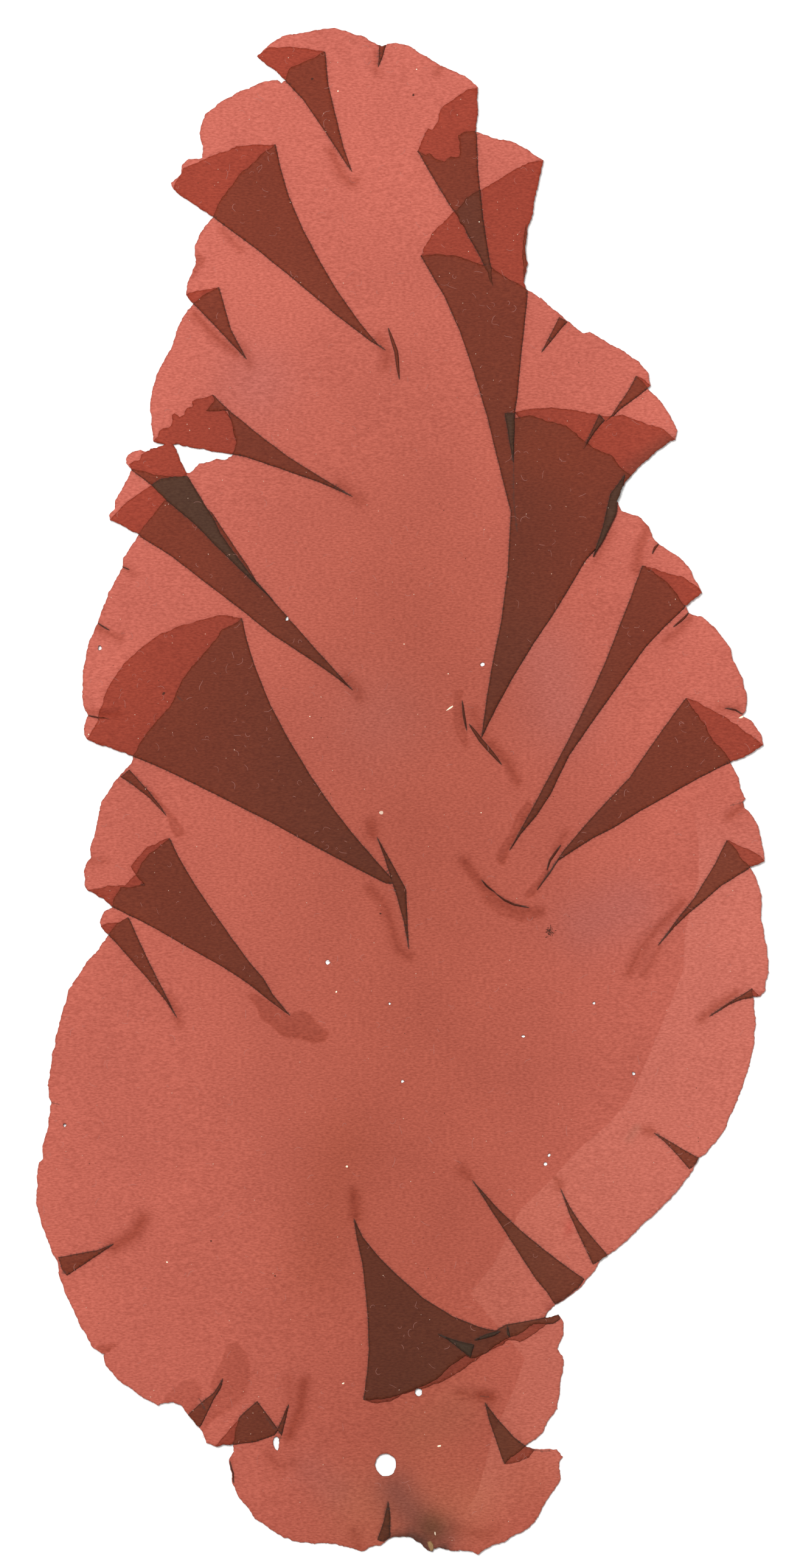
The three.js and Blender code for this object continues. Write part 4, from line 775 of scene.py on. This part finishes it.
def thickness(x, y):
    """How thick the film is, from 0 to 1: least at the far end, most along the middle."""
    middle, reach = THICK_MIDDLE
    (base_x, base_y), (across, along) = THICK_BASE
    ridge = np.exp(-(((x - middle) / reach) ** 2)) * smooth(-y, -125, -10)
    outer = 0.4 * smooth(-y, -50, 20)
    base = np.exp(-(((x - base_x) / across) ** 2) - ((y - base_y) / along) ** 2)
    return 0.76 * (outer + (1 - outer) * ridge) + 0.08 * base


def marks_on(points, fold_gap, margin_gap):
    """What the finish and the relief need to know about each point."""
    pucker_and_shade = puckered_and_shaded(points)
    return {
        "fold": np.clip(1 - fold_gap / FOLD_LINE, 0, 1),
        "rim": np.clip(1 - margin_gap / FOLD_LINE, 0, 1),
        "pucker_and_shade": pucker_and_shade,
        "bright": brightness(points),
        "stain_and_shade": stained_and_shaded(points),
        "thick": thickness(*points.T),
        "relief": RELIEF * pucker_and_shade,
    }


def add(tree, kind, inputs=None, **settings):
    """A new node. Each of its inputs gets a value, or a link where an output is given."""
    made = tree.nodes.new("ShaderNode" + kind)
    for key, value in settings.items():
        setattr(made, key, value)
    for socket, value in (inputs or {}).items():
        if isinstance(value, bpy.types.NodeSocket):
            tree.links.new(value, made.inputs[socket])
        else:
            made.inputs[socket].default_value = value
    return made


def marked(tree, mark, factor=1):
    """A point's mark, times a factor."""
    value = add(tree, "Attribute", attribute_name=mark).outputs["Fac"]
    return add(tree, "Math", {0: value, 1: factor}, operation="MULTIPLY").outputs[0]


def blend(tree, colour, other, factor, kind="MIX"):
    """The colour, blended with the other by factor."""
    inputs = {"Fac": factor, "Color1": colour}
    inputs["Color2"] = linear(*other) if isinstance(other, tuple) else other
    return add(tree, "MixRGB", inputs, blend_type=kind).outputs[0]


def linear(red, green, blue):
    """A colour as a picture shows it, 0 to 255, as a linear colour."""
    shares = [c / 255 for c in (red, green, blue)]
    return [c / 12.92 if c <= 0.04045 else ((c + 0.055) / 1.055) ** 2.4 for c in shares] + [1]


def mottling(tree, place, scale, detail, stretch=(1, 1, 1)):
    """A soft pattern from 0 to 1."""
    moved = add(tree, "Mapping", {"Vector": place, "Scale": stretch}).outputs[0]
    inputs = {"Vector": moved, "Scale": scale, "Detail": detail}
    value = add(tree, "TexNoise", inputs).outputs["Fac"]
    return add(tree, "MapRange", {"Value": value, 1: 0.3, 2: 0.7, 3: 0, 4: 1}).outputs[0]


def by_layers(tree, colours):
    """The colour for the number of layers that lie there."""
    ramp = add(tree, "ValToRGB", {"Fac": marked(tree, "layers", 1 / 6)})
    ramp.color_ramp.interpolation = "CONSTANT"
    steps = ramp.color_ramp.elements
    steps.remove(steps[1])
    steps[0].color = linear(*colours[0])
    for count in (2, 3, 4, 5):
        steps.new((count - 0.5) / 6).color = linear(*colours[count - 1])
    return ramp.outputs["Color"]


def new_material(name, roughness, specular):
    """A material with its node tree and shader, and the place on the piece in metres."""
    material = bpy.data.materials.new(name)
    material.use_nodes = True
    tree = material.node_tree
    shader = tree.nodes["Principled BSDF"]
    shader.inputs["Roughness"].default_value = roughness
    shader.inputs["Specular IOR Level"].default_value = specular
    return material, tree, shader, add(tree, "TexCoord").outputs["Object"]


def film_material():
    """The dried film: coral where it is single, and darker with each layer, with painted shade in its
    puckers and creases.
    """
    material, tree, shader, place = new_material("dried film", 0.6, 0.08)
    cloud = mottling(tree, place, CLOUD_SCALE, 3)
    grain = mottling(tree, place, GRAIN_SCALE, 3, GRAIN_STRETCH)
    thick = by_layers(tree, THICK_COLOURS)
    colour = blend(tree, by_layers(tree, THIN_COLOURS), thick, marked(tree, "thick"))
    colour = blend(tree, colour, CLOUD_TINT, cloud, "MULTIPLY")
    colour = blend(tree, colour, GRAIN_TINT, grain, "MULTIPLY")
    # Painted shade where the film is puckered or creased.
    colour = blend(tree, colour, PUCKER_SHADE_TINT, marked(tree, "pucker_and_shade"), "MULTIPLY")
    colour = blend(tree, colour, BRIGHT_TINT, marked(tree, "bright"), "MULTIPLY")
    # Stains, and one band of painted shade along a fold.
    stain_and_shade = add(tree, "Attribute", attribute_name="stain_and_shade").outputs["Vector"]
    colour = blend(tree, colour, stain_and_shade, 1, "MULTIPLY")
    colour = blend(tree, colour, FOLD_COLOUR, marked(tree, "rim", RIM_STRENGTH))
    colour = blend(tree, colour, FOLD_COLOUR, marked(tree, "fold", FOLD_STRENGTH))

    tree.links.new(colour, shader.inputs["Base Color"])
    bump = add(tree, "Bump", {"Height": grain, "Strength": 0.3, "Distance": 0.00003})
    tree.links.new(bump.outputs[0], shader.inputs["Normal"])
    return material


def plain_material(name, colour, roughness):
    """A faintly mottled matte finish."""
    material, tree, shader, place = new_material(name, roughness, 0.1)
    base = add(tree, "RGB").outputs[0]
    base.default_value = linear(*colour)
    mottled = mottling(tree, place, GRAIN_SCALE, 2)
    mixed = blend(tree, base, (250, 250, 250), mottled, "MULTIPLY")
    tree.links.new(mixed, shader.inputs["Base Color"])
    return material


def dressed(piece, material):
    """Gives the piece its finish and its place on the part."""
    piece.data.materials.append(material)
    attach(piece, "root")
    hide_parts("blade")


def blade(film):
    """The film itself, and a slab for each layer laid over it."""
    layers = film[2]
    material = film_material()
    dressed(slab("film", layers > 0, 0, FILM, film), material)
    for count in (2, 3, 4, 5):
        low = FILM + (count - 2) * LAYER
        dressed(slab(f"layer_{count}", layers >= count, low, low + LAYER, film), material)


class Dust:
    """Small things that lie on the film, gathered in one mesh."""

    def __init__(self, film, seed):
        self.points, self.triangles, self.layers, marks = film
        self.relief = marks["relief"]
        self.middles = self.points[self.triangles].mean(axis=1)
        self.tree = tree_of(self.middles.tolist())
        self.random = random.Random(seed)
        a, b, c = (self.points[self.triangles[:, k]] for k in (0, 1, 2))
        areas = np.abs(np.cross(b - a, c - a)) / 2
        self.weights = (areas * np.where(self.layers > 1, PLEAT_DUST, 1)).tolist()
        self.places, self.faces = [], []

    def spot(self):
        """A place on the film, picked at random."""
        (t,) = self.random.choices(range(len(self.weights)), self.weights)
        return self.middles[t]

    def top(self, x, y):
        """Height of the film's upper face."""
        t = self.tree.find((x, y, 0))[1]
        relief = self.relief[self.triangles[t]].max()
        return float(cockle(x, y) + relief) + FILM + (self.layers[t] - 1) * LAYER

    def fibre(self, length, radius):
        """A short thread that curls as it lies."""
        x, y = self.spot()
        heading = self.random.uniform(0, 2 * math.pi)
        curl = self.random.uniform(-0.5, 0.5)
        first = len(self.places)
        rings = 8
        for ring in range(rings):
            z = self.top(x, y) + radius
            thin = radius * (0.4 if ring in (0, rings - 1) else 1)
            left = (-math.sin(heading) * thin, math.cos(heading) * thin)
            self.places += [
                (x + left[0], y + left[1], z - thin),
                (x - left[0], y - left[1], z - thin),
                (x, y, z + thin),
            ]
            x += math.cos(heading) * length / (rings - 1)
            y += math.sin(heading) * length / (rings - 1)
            heading += curl
            curl += self.random.uniform(-0.25, 0.25)
        for ring in range(rings - 1):
            a = first + 3 * ring
            for k in range(3):
                n = (k + 1) % 3
                self.faces.append((a + k, a + 3 + k, a + 3 + n, a + n))
        last = first + 3 * (rings - 1)
        self.faces += [(first, first + 1, first + 2), (last + 2, last + 1, last)]

    def grain(self, height, place, half_length, half_width, heading=0):
        """A small uneven grain with a flat base."""
        first = len(self.places)
        x, y = place
        z = self.top(x, y)
        cos, sin = math.cos(math.radians(heading)), math.sin(math.radians(heading))
        corners = 8
        for level, share in ((-0.03, 1), (0.6, 0.8)):
            for k in range(corners):
                angle = 2 * math.pi * k / corners
                reach = share * self.random.uniform(0.75, 1.15)
                along = half_length * reach * math.cos(angle)
                across = half_width * reach * math.sin(angle)
                self.places.append(
                    (x + along * cos - across * sin, y + along * sin + across * cos,
                     z + level * height)
                )
        self.places.append((x, y, z + height))
        for k in range(corners):
            n = (k + 1) % corners
            a, b = first + k, first + n
            self.faces.append((a, b, b + corners, a + corners))
            self.faces.append((a + corners, b + corners, first + 2 * corners))
        self.faces.append(tuple(first + k for k in reversed(range(corners))))

    def scatter(self, count, smallest, largest, height):
        """Grains at random places."""
        for _ in range(count):
            half_width = self.random.uniform(smallest, largest)
            half_length = half_width * self.random.uniform(1, 1.8)
            heading = self.random.uniform(0, 180)
            self.grain(height, self.spot(), half_length, half_width, heading)

    def cluster(self, place, spread, count):
        """The smallest grains, close about one place."""
        for _ in range(count):
            spot = [self.random.gauss(c, spread) for c in place]
            size = self.random.uniform(0.035, 0.08)
            self.grain(0.03, spot, 1.6 * size, size, self.random.uniform(0, 180))

    def piece(self, name):
        """What was gathered, as one piece."""
        mesh = bpy.data.meshes.new(name)
        mesh.from_pydata([[c * MM for c in place] for place in self.places], [], self.faces)
        return placed(name, mesh)


def dust(film):
    """Fibres and grains of dust, and the flakes and specks that can be told apart."""
    threads = Dust(film, 11)
    for _ in range(FIBRES):
        threads.fibre(threads.random.uniform(0.4, 1.7), threads.random.uniform(0.012, 0.024))
    dressed(threads.piece("fibres"), plain_material("pale fibre", FIBRE_COLOUR, 0.8))

    pale = Dust(film, 12)
    pale.scatter(PALE_GRAINS, 0.02, 0.06, 0.03)
    pale.grain(0.06, *PALE_SCALE)
    dressed(pale.piece("pale_grains"), plain_material("pale grain", PALE_COLOUR, 0.8))

    flakes = Dust(film, 15)
    for flake in PALE_FLAKES:
        flakes.grain(0.06, *flake)
    dressed(flakes.piece("flakes"), plain_material("flake", FLAKE_COLOUR, 0.8))

    dark = Dust(film, 13)
    dark.scatter(DARK_GRAINS, 0.03, 0.07, 0.03)
    for speck in DARK_SPECKS:
        dark.grain(0.04, *speck)
    dark.cluster(*SPECK_CLUSTER, CLUSTER_GRAINS)
    dressed(dark.piece("dark_grains"), plain_material("dark grain", DARK_COLOUR, 0.8))

    base = Dust(film, 14)
    base.grain(0.4, *HOLDFAST)
    dressed(base.piece("holdfast"), plain_material("holdfast", HOLDFAST_COLOUR, 0.7))


def floor():
    """The plain pale floor, just below the blade."""
    bpy.ops.mesh.primitive_plane_add(size=3, location=(0, 0, -0.0001))
    plane = bpy.context.object
    plane.name = "floor"
    plane.data.materials.append(plain_material("pale floor", FLOOR_COLOUR, 0.9))


def area_light(name, place, size, power):
    lamp = bpy.data.lights.new(name, "AREA")
    lamp.shape = "DISK"
    lamp.size = size
    lamp.energy = power
    light = bpy.data.objects.new(name, lamp)
    light.location = place
    light.rotation_euler = (-Vector(place)).to_track_quat("-Z", "Y").to_euler()
    bpy.context.scene.collection.objects.link(light)


def lights():
    """A dim white room, with a lamp nearly overhead and a weak one to the side."""
    world = bpy.data.worlds.new("studio")
    world.use_nodes = True
    background = world.node_tree.nodes["Background"]
    background.inputs["Color"].default_value = (1, 1, 1, 1)
    background.inputs["Strength"].default_value = 0.45
    bpy.context.scene.world = world
    area_light("key", (-0.14, 0.18, 1.15), 0.3, 13)
    area_light("fill", (0.6, -0.4, 0.9), 0.6, 1)


def camera():
    """Straight down, as the photograph was taken, with a long lens."""
    lens_data = bpy.data.cameras.new("camera")
    lens_data.lens = 200
    lens_data.sensor_fit = "VERTICAL"
    lens_data.sensor_height = 36
    view = bpy.data.objects.new("camera", lens_data)
    seen_height = PHOTO_SIZE[1] * PHOTO_SCALE * MM
    x, y = (c * MM for c in PHOTO_CENTRE)
    view.location = (x, y, seen_height * lens_data.lens / lens_data.sensor_height)
    bpy.context.scene.collection.objects.link(view)
    bpy.context.scene.camera = view


def whole_film():
    """The points, the triangles, the layers on each triangle, and the marks on each point."""
    points, triangles, layers = split_film()
    fold_gap, margin_gap = gaps_from_edges(points, triangles, layers)
    marks = marks_on(points, fold_gap, margin_gap)
    corners = np.array(MARGIN)
    middle = (corners.min(axis=0) + corners.max(axis=0)) / 2
    return frayed(points, margin_gap) - middle, triangles, layers, marks


bpy.context.scene.view_settings.view_transform = "Standard"
camera()
lights()
floor()
film = whole_film()
blade(film)
dust(film)
